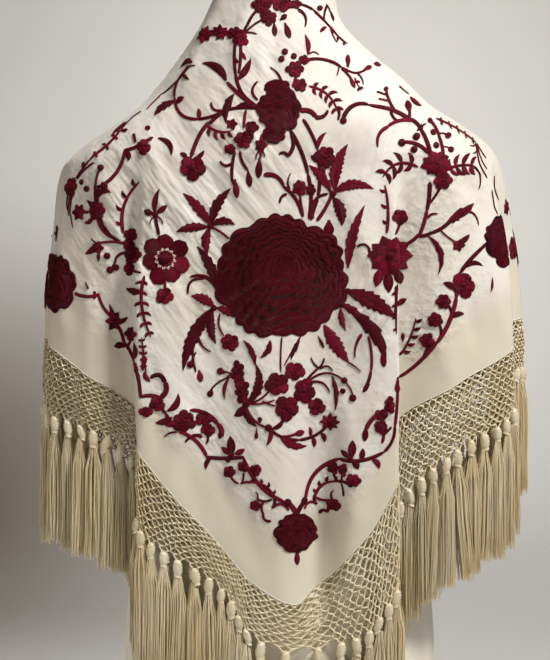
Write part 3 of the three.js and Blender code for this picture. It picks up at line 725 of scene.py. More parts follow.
# Leaves: ends, bulge, width and number of teeth on each edge
LEAVES = np.array([
    (226, 81, 202, 63, .18, 9, 0), (238, 80, 251, 58, .06, 7, 0), (234, 94, 226, 123, .12, 8, 1),
    (193, 64, 177, 66, .3, 8, 0), (158, 138, 171, 156, -.25, 6, 0), (308, 55, 305, 34, .08, 5, 0),
    (210, 225, 183, 193, .05, 10, 3), (211, 225, 231, 188, -.1, 10, 3),
    (208, 227, 176, 232, .06, 9, 3), (212, 226, 235, 225, -.2, 8, 2),
    (210, 228, 208, 254, .12, 9, 2), (335, 191, 348, 144, -.1, 12, 5),
    (334, 193, 374, 189, -.16, 10, 4), (333, 197, 342, 226, -.1, 11, 3),
    (331, 191, 309, 165, .05, 9, 3), (348, 268, 365, 205, -.06, 10, 4),
    (346, 291, 396, 318, -.06, 16, 4), (340, 304, 364, 322, -.08, 8, 2),
    (350, 311, 386, 362, -.12, 13, 2), (341, 308, 346, 331, .08, 6, 2),
    (324, 325, 349, 363, .02, 13, 4), (214, 307, 191, 296, .1, 10, 3),
    (213, 308, 183, 371, .08, 12.5, 5), (213, 310, 216, 344, .12, 9, 4),
    (216, 308, 235, 318, -.1, 8, 2), (216, 287, 197, 246, .08, 10, 3),
    (143, 291, 126, 288, -.12, 7, 1), (155, 213, 160, 189, -.1, 6, 0),
    (156, 213, 167, 205, .05, 6, 0), (153, 214, 144, 210, -.05, 7, 0),
    (428, 236, 438, 275, -.2, 6, 2), (448, 221, 475, 203, .03, 9, 1),
    (458, 243, 470, 234, .1, 6, 0), (452, 318, 465, 314, -.14, 6, 0),
    (456, 291, 443, 283, .12, 7, 0), (466, 268, 483, 266, -.25, 5, 0),
    (492, 292, 494, 277, 0, 3, 0), (125, 347, 114, 347, .15, 7, 0),
    (116, 324, 128, 317, .05, 5, 0), (115, 320, 109, 304, 0, 4, 0), (167, 411, 178, 393, .2, 7, 0),
    (172, 417, 155, 423, -.1, 7, 0), (179, 423, 165, 426, .05, 7, 0),
    (232, 455, 230, 436, 0, 9, 0), (230, 455, 221, 447, 0, 6, 0), (234, 454, 245, 449, .05, 6, 0),
    (212, 457, 206, 470, .16, 5, 0), (352, 458, 353, 440, 0, 9, 0), (350, 458, 340, 450, 0, 6, 0),
    (361, 460, 363, 448, .06, 6, 0), (372, 460, 379, 469, -.22, 6, 0),
    (352, 460, 359, 469, -.1, 7, 0), (227, 456, 228, 463, 0, 6, 0), (246, 404, 255, 363, .2, 9, 4),
    (255, 365, 243, 340, .1, 6, 1), (229, 378, 225, 400, .12, 4, 0),
    (247, 405, 234, 416, -.08, 9, 0), (245, 406, 257, 427, .12, 7, 2),
    (270, 428, 266, 446, -.14, 5, 0), (271, 429, 284, 417, .18, 5, 0),
    (280, 436, 308, 446, .14, 8, 2), (313, 437, 315, 448, -.1, 5, 0),
    (311, 437, 310, 427, .1, 4, 0), (321, 433, 325, 443, -.15, 5, 0),
    (332, 376, 335, 411, -.08, 5, 1), (300, 340, 291, 360, .05, 5, 1),
    (270, 340, 260, 358, -.16, 6, 1), (328, 161, 340, 158, .1, 7, 0),
    (321, 161, 311, 155, -.1, 6, 0), (318, 149, 327, 132, -.14, 5, 0),
    (187, 158, 180, 153, .1, 5, 0), (195, 158, 204, 150, .1, 5, 0), (198, 119, 198, 108, .1, 5, 0),
    (176, 103, 184, 97, -.1, 6, 0), (174, 100, 154, 115, .1, 8, 2), (182, 72, 190, 80, .1, 4, 0),
    (122, 122, 109, 136, .1, 8, 1), (121, 130, 128, 129, .1, 4, 0),
    (124, 150, 128, 161, -.2, 6, 0), (99, 198, 112, 193, -.3, 6, 0), (374, 63, 383, 63.5, 0, 6, 0),
    (410, 97, 424, 105, .05, 7, 0), (416, 132, 421, 124, .1, 3, 0), (388, 271, 389, 293, 0, 11, 0),
    (381, 268, 376, 287, 0, 10, 0), (397, 269, 401, 284, 0, 10, 0), (98, 243, 84, 254, -.06, 7, 0),
    (98, 252, 98, 262, 0, 4, 0), (94, 212, 86, 200, .1, 5, 0), (92, 216, 82, 222, -.25, 5, 0),
    (99, 209, 90, 203, .0, 5, 0), (398, 306, 407, 299, -.1, 6, 0), (330, 160, 338, 161, 0, 7, 0),
    (326, 28, 320, 33, .1, 4, 0), (334, 20, 331, 8, 0, 4, 0), (246, 60, 240, 50, 0, 4, 0),
    (258, 108, 236, 106, .1, 6, 1), (144, 372, 150, 382, .1, 5, 0), (250, 128, 253, 140, 0, 5, 0),
], float)

# Fern stems: ends, bulge, leaflets a side, their length, side of the leaflets (0 both), stem width
FERNS = np.array([
    (309, 86, 338, 112, -.16, 5, 10, 0, 3.0), (124, 233, 139, 182, -.14, 4, 10, -1, 4.0),
    (145, 276, 151, 337, .08, 6, 8, 0, 3.4), (387, 233, 385, 185, .05, 3, 9, -1, 3.6),
    (418, 167, 383, 177, .24, 4, 15, 0, 3.6), (446, 171, 475, 166, -.12, 4, 15, 0, 3.6),
    (437, 117, 484, 142, -.03, 5, 6, 0, 2.6), (207, 125, 231, 131, .14, 4, 11, 1, 3.4),
    (400, 355, 416, 318, .06, 5, 10, 1, 2.8), (317, 498, 338, 482, -.2, 4, 7, -1, 3.4),
    (274, 499, 250, 483, .2, 4, 7, 1, 3.4), (143, 371, 142, 338, .04, 5, 5, 0, 2.2),
    (396, 286, 397, 334, .0, 4, 6, 1, 2.6), (120, 130, 92, 157, -.04, 3, 6, 0, 2.6),
    (330, 27, 348, 43, .02, 3, 6, 1, 2.4), (355, 77, 362, 90, .05, 2, 6, 0, 2.0),
], float)

# Flowers: centre, half width and height, petals, turn, and style: 0 round, 1 pointed in rings,
# 2 open with stamens, 3 a narrow star
FLOWERS = np.array([
    (262, 5, 10, 9, 6, 0, 0), (282, 2, 12, 9, 6, .3, 0), (268.5, 17, 8.5, 8, 6, .5, 0),
    (296, 4, 6, 5, 5, 0, 0), (235, 33, 9, 6, 5, 0, 0), (241, 40, 8, 7, 5, .4, 0),
    (203, 33, 9, 10, 7, 0, 3), (220, 32, 9, 8, 7, .2, 3), (295, 69, 9.5, 8, 6, 0, 0),
    (300, 85, 7.5, 7, 6, 0, 0), (304, 60, 6, 5, 5, 0, 0), (243, 140, 9, 9, 6, 0, 0),
    (232, 124, 6, 6, 5, 0, 3), (252, 127, 7, 6, 5, 0, 0), (230, 149, 6, 5.5, 5, 0, 0),
    (261, 145, 7, 7, 5, 0, 3), (193, 168, 13.5, 12.5, 5, .3, 0), (144, 148, 7.5, 7.5, 4, .2, 0),
    (325, 157, 11, 11, 6, .2, 0), (300, 188, 8, 8, 7, 0, 1), (311, 190, 5, 6, 5, 0, 0),
    (400.5, 217, 8.5, 7.5, 5, .4, 0), (390, 256, 22, 20.5, 10, 0, 1), (436, 164, 15, 13, 9, .1, 1),
    (442.5, 181, 9.5, 9, 6, 0, 0), (165.5, 259, 23.5, 26, 7, .25, 2),
    (164.5, 296, 9, 8.5, 5, .1, 0), (230, 342.5, 9.5, 9, 6, .3, 0), (131, 235, 7, 6.5, 4, .3, 0),
    (129.5, 245, 6.5, 6, 5, 0, 0), (133, 255, 8.5, 9.5, 6, 0, 0), (130, 269, 6.5, 6.5, 4, 0, 0),
    (97, 211, 9, 10, 6, 0, 0), (76, 212, 9, 9, 6, 0, 3), (62, 187, 11, 10, 6, 0, 0),
    (114, 321, 9, 10, 6, 0, 3), (131.5, 334, 7, 7.5, 6, 0, 0), (157, 404, 8.5, 7.5, 5, .3, 0),
    (146, 412, 6.5, 5.5, 4, 0, 0), (184, 421, 12, 11, 6, .4, 0), (204, 419, 9, 7.5, 5, 0, 0),
    (208, 430, 7, 6.5, 4, 0, 0), (229, 472, 6.5, 6, 5, 0, 0), (243, 467, 6, 5.5, 5, 0, 0),
    (256, 470, 6, 6, 5, 0, 0), (255, 506, 6, 5.5, 5, 0, 0), (333, 469, 5.5, 6.5, 5, 0, 0),
    (343, 470, 5, 7, 5, 0, 0), (354, 480, 8, 7, 6, 0, 0), (334.5, 506, 6.5, 6, 5, 0, 0),
    (295, 371, 11, 9, 5, .2, 0), (277, 384, 12.5, 11.5, 5, .5, 0), (304.5, 391, 11, 13, 5, .1, 0),
    (287, 408, 12.5, 13, 5, .3, 0), (317, 407, 8.5, 9, 4, .4, 0), (238, 373, 6.5, 12.5, 7, 0, 0),
    (242, 391, 7, 13.5, 7, .2, 0), (330, 422, 10, 9, 8, 0, 3), (464, 285, 12, 13, 5, .1, 0),
    (443.5, 301.5, 8, 7.5, 6, 0, 0), (435, 320, 8, 7.5, 6, .3, 0), (427, 340.5, 8, 7.5, 6, .1, 0),
    (381.5, 415, 7, 6, 5, 0, 0), (381, 427, 7, 7, 5, 0, 0), (390, 405, 5, 9, 5, 0, 0),
    (459, 245, 7, 6.5, 5, 0, 3), (97, 248, 7, 7, 5, 0, 3), (-12, 262, 12, 12, 6, 0, 0),
    (8, 232, 9, 9, 6, .2, 3), (568, 246, 12, 12, 6, 0, 0), (548, 205, 9, 9, 6, .2, 3),
], float)

# Roses of scalloped rings: centre, half width and height, rings, scallops, heart's shift, height
ROSES = np.array([
    (281, 277, 66, 60.5, 10, 23, 9, -19, 2.6), (279, 110, 21.5, 23, 4, 9, 1, -2, 2.4),
    (277, 87, 13, 8, 3, 5, 0, 2, 1.4), (274, 134, 11.5, 9.5, 3, 6, 0, -2, 1.6),
    (297, 533, 22, 20, 4, 9, 0, -2, 2.6), (48, 284, 27, 28, 5, 11, 2, -4, 2.4),
    (515, 241, 29, 25.5, 5, 11, -2, -3, 2.4),
], float)

# Buds: ends and width; knots: centre and radius
BUDS = np.array([
    (274, 21, 275, 35, 7), (285, 22, 290, 38, 8), (280, 19, 287, 14, 7), (348, 68, 348.5, 54, 7),
    (349, 76, 355, 88, 6), (235, 179, 237, 198, 8), (248, 170, 250, 187, 8),
    (259.5, 158, 258.5, 178, 9), (136, 343, 136, 359, 6.5), (297, 550, 298, 565, 8),
    (366, 426, 365, 441, 8), (383, 350, 384, 367, 8), (397, 381, 398, 393, 7),
    (409, 114, 407, 101, 9), (329, 220, 329, 236, 13), (145, 366, 145, 356, 5),
    (403, 342, 402.5, 333, 5), (364, 69, 372, 66, 6), (225, 373, 217, 370, 9),
    (293, 435, 305, 432, 8), (260, 423, 260, 417, 6), (257, 431, 256, 439, 5),
    (212, 389, 209, 397, 8), (199, 370, 201, 382, 8), (370, 384, 363, 392, 5),
    (222, 429, 219, 439, 6), (203, 437, 199, 436, 5), (95, 292, 94, 299, 5),
    (318, 336, 324, 348, 4), (236, 58, 238, 64, 4),
], float)
KNOTS_SEWN = np.array([
    (402, 142.5, 4), (414, 149.5, 3.6), (416, 137, 3.8), (433.5, 132, 3.4), (436, 145.5, 3.4),
    (449, 134.5, 3.2), (452, 148.5, 3.2), (285, 51.5, 3.4), (281.5, 58.5, 3.4), (294, 56, 3.2),
    (386, 89, 2.4), (430.5, 120, 3), (344.5, 380.5, 3.4), (353, 398, 3.8), (343, 391, 3),
    (107, 256, 3.6), (110, 270, 3.8), (116, 267.5, 3.6), (105, 186, 4), (79, 182, 3.2),
    (86, 189, 3.4), (101.5, 168, 3.4), (80, 165, 3.4), (190.5, 364.5, 3.8), (210, 226.5, 3.2),
    (333, 194, 3.6), (214, 308, 3.2), (348, 291, 3), (342, 305, 3), (155, 214, 3.4),
    (231, 456, 3.2), (351, 459, 3.2), (246, 404, 4), (97, 211, 3), (453, 220, 3), (268.5, 428, 4),
    (306, 501, 4), (287, 502, 4), (343.5, 120.5, 3.6), (319, 9, 3), (148, 128, 2.6),
], float)


def bulged(x1, y1, x2, y2, bulge, t):
    """Places on a line that bulges to one side, start + d t + n 4 bulge t (1 - t), and the line's
    direction there."""
    dx, dy = x2 - x1, y2 - y1
    arch, lean = 4 * bulge * t * (1 - t), 4 * bulge * (1 - 2 * t)
    tx, ty = dx - dy * lean, dy + dx * lean
    n = np.hypot(tx, ty) + 1e-9
    return x1 + dx * t - dy * arch, y1 + dy * t + dx * arch, tx / n, ty / n


def fern_rows(fern):
    """Leaflets of a fern stem, each leaning forward from its place on the stem's curve."""
    count, length, side = fern[5:8]
    rows = []
    for k, t in enumerate((np.arange(int(count)) + 0.6) / count):
        x, y, tx, ty = bulged(*fern[:5], t)
        for hand in (-1, 1):
            if side in (0, hand):
                reach = length * (1 - 0.35 * abs(2 * t - 1)) * (1 + 0.12 * math.sin(5 * k + hand))
                forward, out = 0.55 * reach, 0.84 * hand * reach
                rows.append((x, y, x + forward * tx - out * ty, y + forward * ty + out * tx,
                             0.16 * hand, 0.42 * length**0.8 + 1.2, 0))
    return rows


# Petal rings of the four styles: reach, width, lift
PETAL_RINGS = (((1.0, 1.0, 0), (0.55, 0.8, 0.5)), ((1.0, 1.0, 0), (0.8, 1.0, 0.4), (0.5, 0.8, 0.8)),
               ((1.0, 1.05, 0), (0.34, 0.9, 0.6)), ((1.0, 0.62, 0),))


def flower_rows(flower):
    """Petals of a flower as blades from near its centre: x1, y1, x2, y2, bulge, width, lift."""
    x, y, rx, ry, petals, turn, style = flower
    rows = []
    fullness = 0.80 if style in (0, 2) else 1.15
    for ring, (reach, wide, lift) in enumerate(PETAL_RINGS[int(style)]):
        count = int(petals) - (3 if ring == 2 else 0)
        width = math.sin(math.pi / count) * reach * wide * (rx + ry) * fullness
        for k in range(count):
            a = 2 * math.pi * (k + 0.5 * ring) / count + turn
            far = reach * (1.03 + 0.06 * math.sin(3 * k + x))
            across, down = rx * math.cos(a), ry * math.sin(a)
            rows.append((x + 0.06 * across, y + 0.06 * down, x + far * across, y + far * down,
                         0.05 * math.sin(2 * k + y), width, lift + 0.12 * (k % 2)))
    return rows


def round_end(t):
    """A petal's half width: a sine up to two thirds, then a quarter circle."""
    return np.where(t < 0.62, 0.36 + 0.64 * np.sin(np.pi * t / 1.24),
                    np.sqrt(np.clip(1 - ((t - 0.62) / 0.38) ** 2, 0.0, 1)) * 0.96 + 0.04)


def pointed(t):
    """A leaf's half width: sin(pi t^0.8)^0.85, coming to a point, on a short stalk."""
    return np.maximum(np.sin(np.pi * t**0.8) ** 0.85 * (1 - 0.12 * t) + 0.03, 0.26 * (1 - 3 * t))


def drop(t):
    """A bud's half width: thin at the stalk, round at the end."""
    return 0.22 + 0.78 * np.sin(np.pi * np.clip(t * 1.1 - 0.1, 0, 1)) ** 0.9 * (0.45 + 0.55 * t)


def blunt(t):
    """A stem's half width: even, narrower only at its very ends."""
    return np.clip(1.0 - 0.5 * (2 * np.abs(t - 0.5)) ** 14, 0.05, 1)


def chart_part(x, y, up, uv, tone, faces):
    """A piece of work on the chart, as flat lists: x, y, height, UV, tone and faces."""
    return [x.ravel(), y.ravel(), up.ravel(), np.stack(uv, -1).reshape(-1, 2), tone.ravel(), faces]


def blades(rows, profile, steps, across, height, slant, teeth=None, lift=None, taper=False):
    """Padded strips of satin stitch on the chart. The middle line runs from one end to the other
    with its bulge; the half width follows the profile, cut by saw teeth; the face is raised by
    height sqrt(1 - s^2). U crosses the threads, V runs along them; slant is how far the threads
    lean along the strip, or None where they run its length."""
    t = np.linspace(0, 1, steps)[None, :]
    s = np.linspace(-1, 1, across)
    x1, y1, x2, y2, bulge, wide = (rows[:, k][:, None] for k in range(6))
    x, y, tx, ty = bulged(x1, y1, x2, y2, bulge, t)
    length = np.hypot(x2 - x1, y2 - y1)
    if taper:
        wide = wide * (1 - t) + rows[:, 6][:, None] * t
    half = wide / 2 * profile(t)
    left = right = half
    if teeth is not None:
        many = teeth[:, None]
        inner = smooth(t, 0.12, 0.25) * smooth(-t, -0.9, -0.75) * (many > 0)
        left = half * (1 + inner * (0.42 * ((t * many * 1.9) % 1) - 0.18))
        right = half * (1 + inner * (0.42 * ((t * many * 1.9 + 0.45) % 1) - 0.18))
    reach = np.where(s < 0, left[..., None], right[..., None]) * s
    lead = np.abs(s) * 0.35 * half[..., None] * (teeth is not None)
    px = x[..., None] - ty[..., None] * reach + tx[..., None] * lead
    py = y[..., None] + tx[..., None] * reach + ty[..., None] * lead
    up = height * np.sqrt(np.clip(1 - s**2, 0, 1)) * np.minimum(1, profile(t) * 1.2)[..., None]
    up = np.broadcast_to(up, px.shape) + (0 if lift is None else lift[:, None, None])
    along = (length * t)[..., None] + 0 * reach
    uv = (reach, along) if slant is None else (along - np.abs(reach) * slant, reach)
    tone = 0.25 + 0.7 * np.random.default_rng(len(rows)).random(len(rows))[:, None, None] + 0 * px
    # painted shade: each strip darkens towards its sides, where the padded stitch curves down
    tone = tone - 0.35 * np.abs(s) ** 3
    if teeth is not None and across > 5:
        tone = tone - 0.3 * (np.abs(s) < 0.1)
    faces = repeated(grid_faces(steps, across), len(rows), steps * across)
    return chart_part(px, py, up, uv, tone, faces)


def rose(row, rings_out, columns):
    """A rose of satin rows: rings of scallops round a heart that sits off the middle. The height is
    a low dome plus a saw that falls from ring to ring, dome (1 - r^2)^0.8 + step (1 - frac(q))^0.7,
    with q = rings r^0.92 + swirl + waves; each ring has its own number of waves and own turn."""
    cx, cy, rx, ry, rings, lobes, sx, sy, high = row
    r = np.linspace(0.0, 1, rings_out)[:, None]
    a = (np.arange(columns) * 2 * np.pi / columns)[None]
    wander = np.random.default_rng(int(cx)).normal(0, 1, 6)
    uneven = 0.9 * np.sin(2 * a + wander[3]) + 0.6 * np.sin(5 * a + wander[4])
    scallop = 0.072 * np.clip(14 / lobes, 0.8, 1.8)
    edge = (1 + scallop * (np.abs(np.sin(lobes * a / 2 + uneven)) - 0.5)
            + 0.075 * (np.abs(np.sin(3.5 * a + wander[5])) - 0.6)
            + 0.016 * (wander[0] * np.cos(2 * a) + wander[1] * np.sin(3 * a)
                       + wander[2] * np.cos(5 * a)))
    shift = (1 - r) ** 1.2
    x = cx + sx * shift + rx * r * edge * np.cos(a)
    y = cy + sy * shift + ry * r * edge * np.sin(a)
    swirl = (0.10 * rings * np.sin(a + wander[3]) * (1 - r)
             + 0.42 * np.sin(3 * a + wander[4] + 5 * r) + 0.22 * np.sin(5 * a - 7 * r + wander[5]))
    q = rings * r**0.92 + swirl
    ring = np.floor(q)
    count = np.round(lobes * np.clip((ring + 1.5) / (rings + 0.5), 0.25, 1))
    broad = np.abs(np.sin(0.5 * np.round(0.45 * count) * a + ring)) - 0.5
    waves = 0.13 * np.sin(count * a + 2.4 * ring) + 0.34 * broad
    q = q + waves * smooth(r, 0.04, 0.3) * smooth(-r, -1, -0.93)
    fall = q - np.floor(q)
    step = 0.36 * high
    up = high * 0.55 * (1 - r**2) ** 0.8 + 0.25 * step
    up = up + step * (1 - fall) ** 0.7 * smooth(-r, -1.0, -0.95)
    up = up * smooth(-r, -1.0, -0.975)
    gap = 1.3 * rings / rings_out
    groove = np.exp(-(fall / gap) ** 2) + np.exp(-((1 - fall) / (0.8 * gap)) ** 2)
    uv = (a * 0.3 * (0.35 + r) * (rx + ry), 8 * r * rx / rings + 0 * a)
    # tone: a random tone for each ring, painted light on each ring's raised top, and painted shade
    # in the groove between rings
    tone = 0.26 + 0.16 * np.sin(7.1 * np.floor(q)) + 0.1 * (1 - fall)
    tone = tone - 0.6 * groove * smooth(r, 0.03, 0.12)
    return chart_part(x, y, up, uv, tone, grid_faces(rings_out, columns, True))


def knots_sewn(rows, height):
    """French knots and berries: small domes, height sqrt(1 - r^2)."""
    rings, sides = np.array([0.02, 0.5, 0.85, 1.0]), 9
    r, a = rings[None, :, None], (np.arange(sides) * 2 * np.pi / sides)[None, None]
    cx, cy, size = (rows[:, k, None, None] for k in range(3))
    x, y = cx + size * r * np.cos(a), cy + size * r * np.sin(a)
    up = height * np.sqrt(1 - r**2 * 0.99) * size / 3 + 0 * a
    faces = repeated(grid_faces(len(rings), sides, True), len(rows), len(rings) * sides)
    return chart_part(x, y, up, (x, y), 0.45 + 0 * x, faces)


def turned_over(parts, about):
    """The same work reflected on the chart, for the front: x becomes 2 about - x."""
    return [[2 * about - x, y, up, uv, tone, faces[:, ::-1]] for x, y, up, uv, tone, faces in parts]


# Stitches rise from the cloth by a base and a share of their height. An edge is torn by a fold
# where it is longer on the cloth than stretch * drawn + slack. Work keeps clear of all edges.
STITCH_BASE, STITCH_SHARE = 0.42, 0.9
STRETCH, SLACK = 2.4, 2.2
CLEAR_OF_HEM, CLEAR_OF_FRONT, CLEAR_TOP = 22, 2.5, 928


def laid(x, y, up, rise):
    """Angle, height and place of chart points on the cloth, lifted by the stitches' height."""
    angle, z = on_chart(x, y)
    lift = (STITCH_BASE + rise + STITCH_SHARE * up)[..., None]
    return angle, z, cloth(angle, z) + plain_normal(angle, z) * lift


def cut_at_fold(corners, places, rise):
    """Faces that reach over the hidden side of a fold become two, one on each side of it: a corner
    across the gap moves back along its edge, by halving, to the last place before the gap."""
    gap = np.linalg.norm(places - places[:, :1], axis=2)
    drawn = np.hypot(corners[..., 0] - corners[:, :1, 0], corners[..., 1] - corners[:, :1, 1])
    same = gap < STRETCH * drawn + SLACK
    index = np.arange(4)
    out = []
    for side in (same, ~same):
        after, before = np.roll(side, -1, 1), np.roll(side, 1, 1)
        source = np.where(before, (index - 1) % 4, np.argmax(side, 1)[:, None])
        source = np.where(side, index, np.where(after, (index + 1) % 4, source))
        start = np.take_along_axis(corners, source[..., None], 1)
        begun = np.take_along_axis(places, source[..., None], 1)
        near_end, far_end = start, corners
        for _ in range(8):
            middle = (near_end + far_end) / 2
            at = laid(middle[..., 0], middle[..., 1], middle[..., 2], rise)[2]
            walked = np.hypot(middle[..., 0] - start[..., 0], middle[..., 1] - start[..., 1])
            near = (np.linalg.norm(at - begun, axis=2) < 1.4 * walked + 1.0)[..., None]
            near_end, far_end = np.where(near, middle, near_end), np.where(near, far_end, middle)
        out.append(np.where(side[..., None], corners, near_end)[side.any(1)])
    return np.concatenate(out).reshape(-1, corners.shape[-1])


def sewn(name, parts, material, low, high, rise=0.0):
    """Lays chart pieces on the cloth: faces off the panel or too near the hem are left out."""
    starts = np.cumsum([0] + [len(part[0]) for part in parts])
    x, y, up, uv, tone = (np.concatenate([part[k] for part in parts]) for k in range(5))
    faces = np.concatenate([part[5] + start for part, start in zip(parts, starts)])
    keep = (x[faces].min(1) > low) & (x[faces].max(1) < high)
    faces = faces[keep]
    used = np.unique(faces)
    place = np.zeros(len(x), int)
    place[used] = np.arange(len(used))
    x, y, up, uv, tone, faces = x[used], y[used], up[used], uv[used], tone[used], place[faces]
    angle, z, p = laid(x, y, up, rise)
    room = np.abs(angle) < curve(LEVELS, 6, z) - CLEAR_OF_FRONT
    room = room & (z > hem_z(angle) + CLEAR_OF_HEM) & (z < CLEAR_TOP)
    faces = faces[room[faces].all(1)]
    corners = p[faces]
    long = np.linalg.norm(corners - np.roll(corners, 1, 1), axis=2).max(1)
    flat = np.stack([x, y], 1)[faces]
    drawn = np.linalg.norm(flat - np.roll(flat, 1, 1), axis=2).max(1)
    torn = long > STRETCH * drawn + SLACK
    first, second = p[faces[:, 1]] - p[faces[:, 0]], p[faces[:, 3]] - p[faces[:, 0]]
    out = np.cross(first, second)
    wrong = (out * plain_normal(angle, z)[faces[:, 0]])[~torn].sum(1).mean() < 0
    cut = cut_at_fold(np.column_stack([x, y, up, uv, tone])[faces[torn]], p[faces[torn]], rise)
    faces = np.concatenate([faces[~torn], len(p) + np.arange(len(cut)).reshape(-1, 4)])
    p = np.concatenate([p, laid(cut[:, 0], cut[:, 1], cut[:, 2], rise)[2]])
    uv, tone = np.concatenate([uv, cut[:, 3:5]]), np.concatenate([tone, cut[:, 5]])
    obj = mesh_piece(name, p, faces[:, ::-1] if wrong else faces, uv, dict(tone=tone))
    obj.data.materials.append(material)
    return obj, (angle, z)


def satin_material(name, base, light, dark):
    """Satin stitch in twisted silk: threads about half a millimetre apart laid side by side,
    painted shade where a row ends and between a rose's rings, each motif a little lighter or
    darker."""
    n = Nodes(name)
    uv = n.add("UVMap", uv_map="UVMap").outputs[0]
    thread, fine = (n.add("Mapping", {"Vector": uv, "Scale": scale}).outputs[0]
                    for scale in ((2.0, 0.10, 1), (5.5, 0.3, 1)))
    thread, fine = n.noise(1.0, thread, 2, 0.6), n.noise(1.0, fine, 1)
    tone = n.attribute("tone")
    shade = n.mix(n.ramp(tone, 0.35, 1.0), colour(base), colour(light))
    shade = n.mix(n.times(n.ramp(tone, 0.3, -0.35), 0.85), shade, colour(dark))
    shade = n.mix(n.times(n.ramp(thread, 0.5, 0.32), 0.6), shade, colour(dark))
    bump = n.bump(thread, 0.9, 0.0012)
    bump = n.bump(fine, 0.35, 0.0005, bump)
    return n.finish({"Base Color": shade, "Roughness": 0.45, "Specular IOR Level": 0.08,
                     "Normal": bump})


WINE = satin_material("wine satin thread", "#4E0815", "#760F27", "#180104")
PALE_THREAD = satin_material("pale stamen thread", "#D9C3B4", "#EADBCB", "#8A5A54")


def satin_work():
    """Every motif of the tables as chart pieces: first blades, then roses."""
    ferns = np.array([row for fern in FERNS for row in fern_rows(fern)])
    petals = {k: np.array([row for f in FLOWERS if f[6] in styles for row in flower_rows(f)])
              for k, styles in {"round": (0, 2), "sharp": (1, 3)}.items()}
    stems = np.concatenate([STEMS, np.column_stack([FERNS[:, :5], FERNS[:, 8], FERNS[:, 8] * 0.6])])
    plain = LEAVES[LEAVES[:, 6] == 0]
    toothed = LEAVES[LEAVES[:, 6] > 0]
    buds = np.column_stack([BUDS[:, :4], 0 * BUDS[:, 0], BUDS[:, 4]])
    hearts = np.array([(f[0], f[1], 0.22 * min(f[2], f[3]) + 0.6) for f in FLOWERS])
    leaf_parts = [
        blades(stems, blunt, 13, 5, 0.75, 0.7, taper=True),
        blades(ferns, pointed, 8, 4, 0.6, 0.8),
        blades(plain, pointed, 11, 5, 0.8, 0.8, teeth=plain[:, 6]),
        blades(toothed, pointed, 34, 7, 0.95, 0.9, teeth=toothed[:, 6]),
        blades(buds, drop, 9, 5, 1.0, None),
    ]
    bloom_parts = [
        blades(petals["round"], round_end, 9, 7, 0.9, None, lift=petals["round"][:, 6]),
        blades(petals["sharp"], pointed, 9, 5, 0.9, None, lift=petals["sharp"][:, 6]),
        knots_sewn(KNOTS_SEWN, 1.3), knots_sewn(hearts, 2.4),
    ]
    rose_parts = [rose(ROSES[0], 96, 240)] + [rose(r, 36, 84) for r in ROSES[1:]]
    return leaf_parts, bloom_parts, rose_parts


leaf_parts, bloom_parts, rose_parts = satin_work()
LEFT_TURN, RIGHT_TURN = 2.0, 560.0
BACK_PANEL = (-40, 600)
SEWN_LEAVES, leaf_at = sewn("satin_stems_and_leaves", leaf_parts, WINE, *BACK_PANEL)
SEWN_BLOOMS, bloom_at = sewn("satin_flowers", bloom_parts, WINE, *BACK_PANEL, 0.15)
SEWN_ROSES, _ = sewn("satin_roses", rose_parts, WINE, *BACK_PANEL, 0.1)
front_parts = leaf_parts + bloom_parts + rose_parts[1:]
SEWN_FRONT_LEFT, left_at = sewn("satin_front_left", turned_over(front_parts, LEFT_TURN), WINE,
                                -330, -10)
SEWN_FRONT_RIGHT, right_at = sewn("satin_front_right", turned_over(front_parts, RIGHT_TURN), WINE,
                                  575, 900)


def stamens():
    """A ring of pale loops round each open flower's heart, each ending in a knot."""
    parts = []
    a = np.arange(12) * 2 * np.pi / 12 + 0.1
    b = a + 0.26
    for x, y, rx, ry in FLOWERS[FLOWERS[:, 6] == 2, :4]:
        knots = (x + 0.37 * rx * np.cos(a), y + 0.35 * ry * np.sin(a), 1.15 + 0 * a)
        parts.append(knots_sewn(np.column_stack(knots), 2.2))
        rx, ry = 0.34 * rx, 0.32 * ry
        loops = (x + rx * np.cos(a), y + ry * np.sin(a), x + rx * np.cos(b), y + ry * np.sin(b),
                 -1.3 + 0 * a, 0.8 + 0 * a)
        parts.append(blades(np.column_stack(loops), lambda t: 1.0 + 0 * t, 7, 4, 0.5, 0.7))
    return parts


STAMENS, _ = sewn("pale_stamens", stamens(), PALE_THREAD, *BACK_PANEL, 1.5)
CELL_A, CELL_Z, CELL_START = 2.0, 7.0, 240


def pucker_values():
    """How close the cloth's points are to stitching: stitches counted in cells of angle and height,
    spread over the neighbouring cells and read between their middles."""
    sewn_at = np.concatenate([leaf_at, bloom_at, left_at, right_at], axis=1)
    cells = [np.arange(-180, 181, CELL_A), np.arange(CELL_START, 961, CELL_Z)]
    count = np.histogram2d(sewn_at[0], sewn_at[1], cells)[0]
    near = np.clip(count / 40, 0, 1)
    for axis in (0, 1, 0, 1):
        near = (np.roll(near, 1, axis) + near + np.roll(near, -1, axis)) / 3
    u = np.clip((angle_of(cloth_points) + 180) / CELL_A - 0.5, 0, near.shape[0] - 1.001)
    v = np.clip((cloth_points[..., 2] - CELL_START) / CELL_Z - 0.5, 0, near.shape[1] - 1.001)
    i, j = u.astype(int), v.astype(int)
    u, v = u - i, v - j
    level = (near[i, j] * (1 - u) * (1 - v) + near[i + 1, j] * u * (1 - v)
             + near[i, j + 1] * (1 - u) * v + near[i + 1, j + 1] * u * v)
    return np.clip(level * 1.6, 0, 1)


pucker = SHAWL.data.attributes.new("pucker", "FLOAT", "POINT")
pucker.data.foreach_set("value", pucker_values().ravel().astype(np.float32))

# The net and the fringe, in two layers: seed, how far inwards and how much higher
CELL_ROWS = 13
TASSEL_STEP = 15.6
MOST_LEAN, LEAN_SHARE = 22, 0.9
OUTER, INNER = 11, 12
LAYERS = {OUTER: (0.3, 0.0), INNER: (4.2, 7.0)}


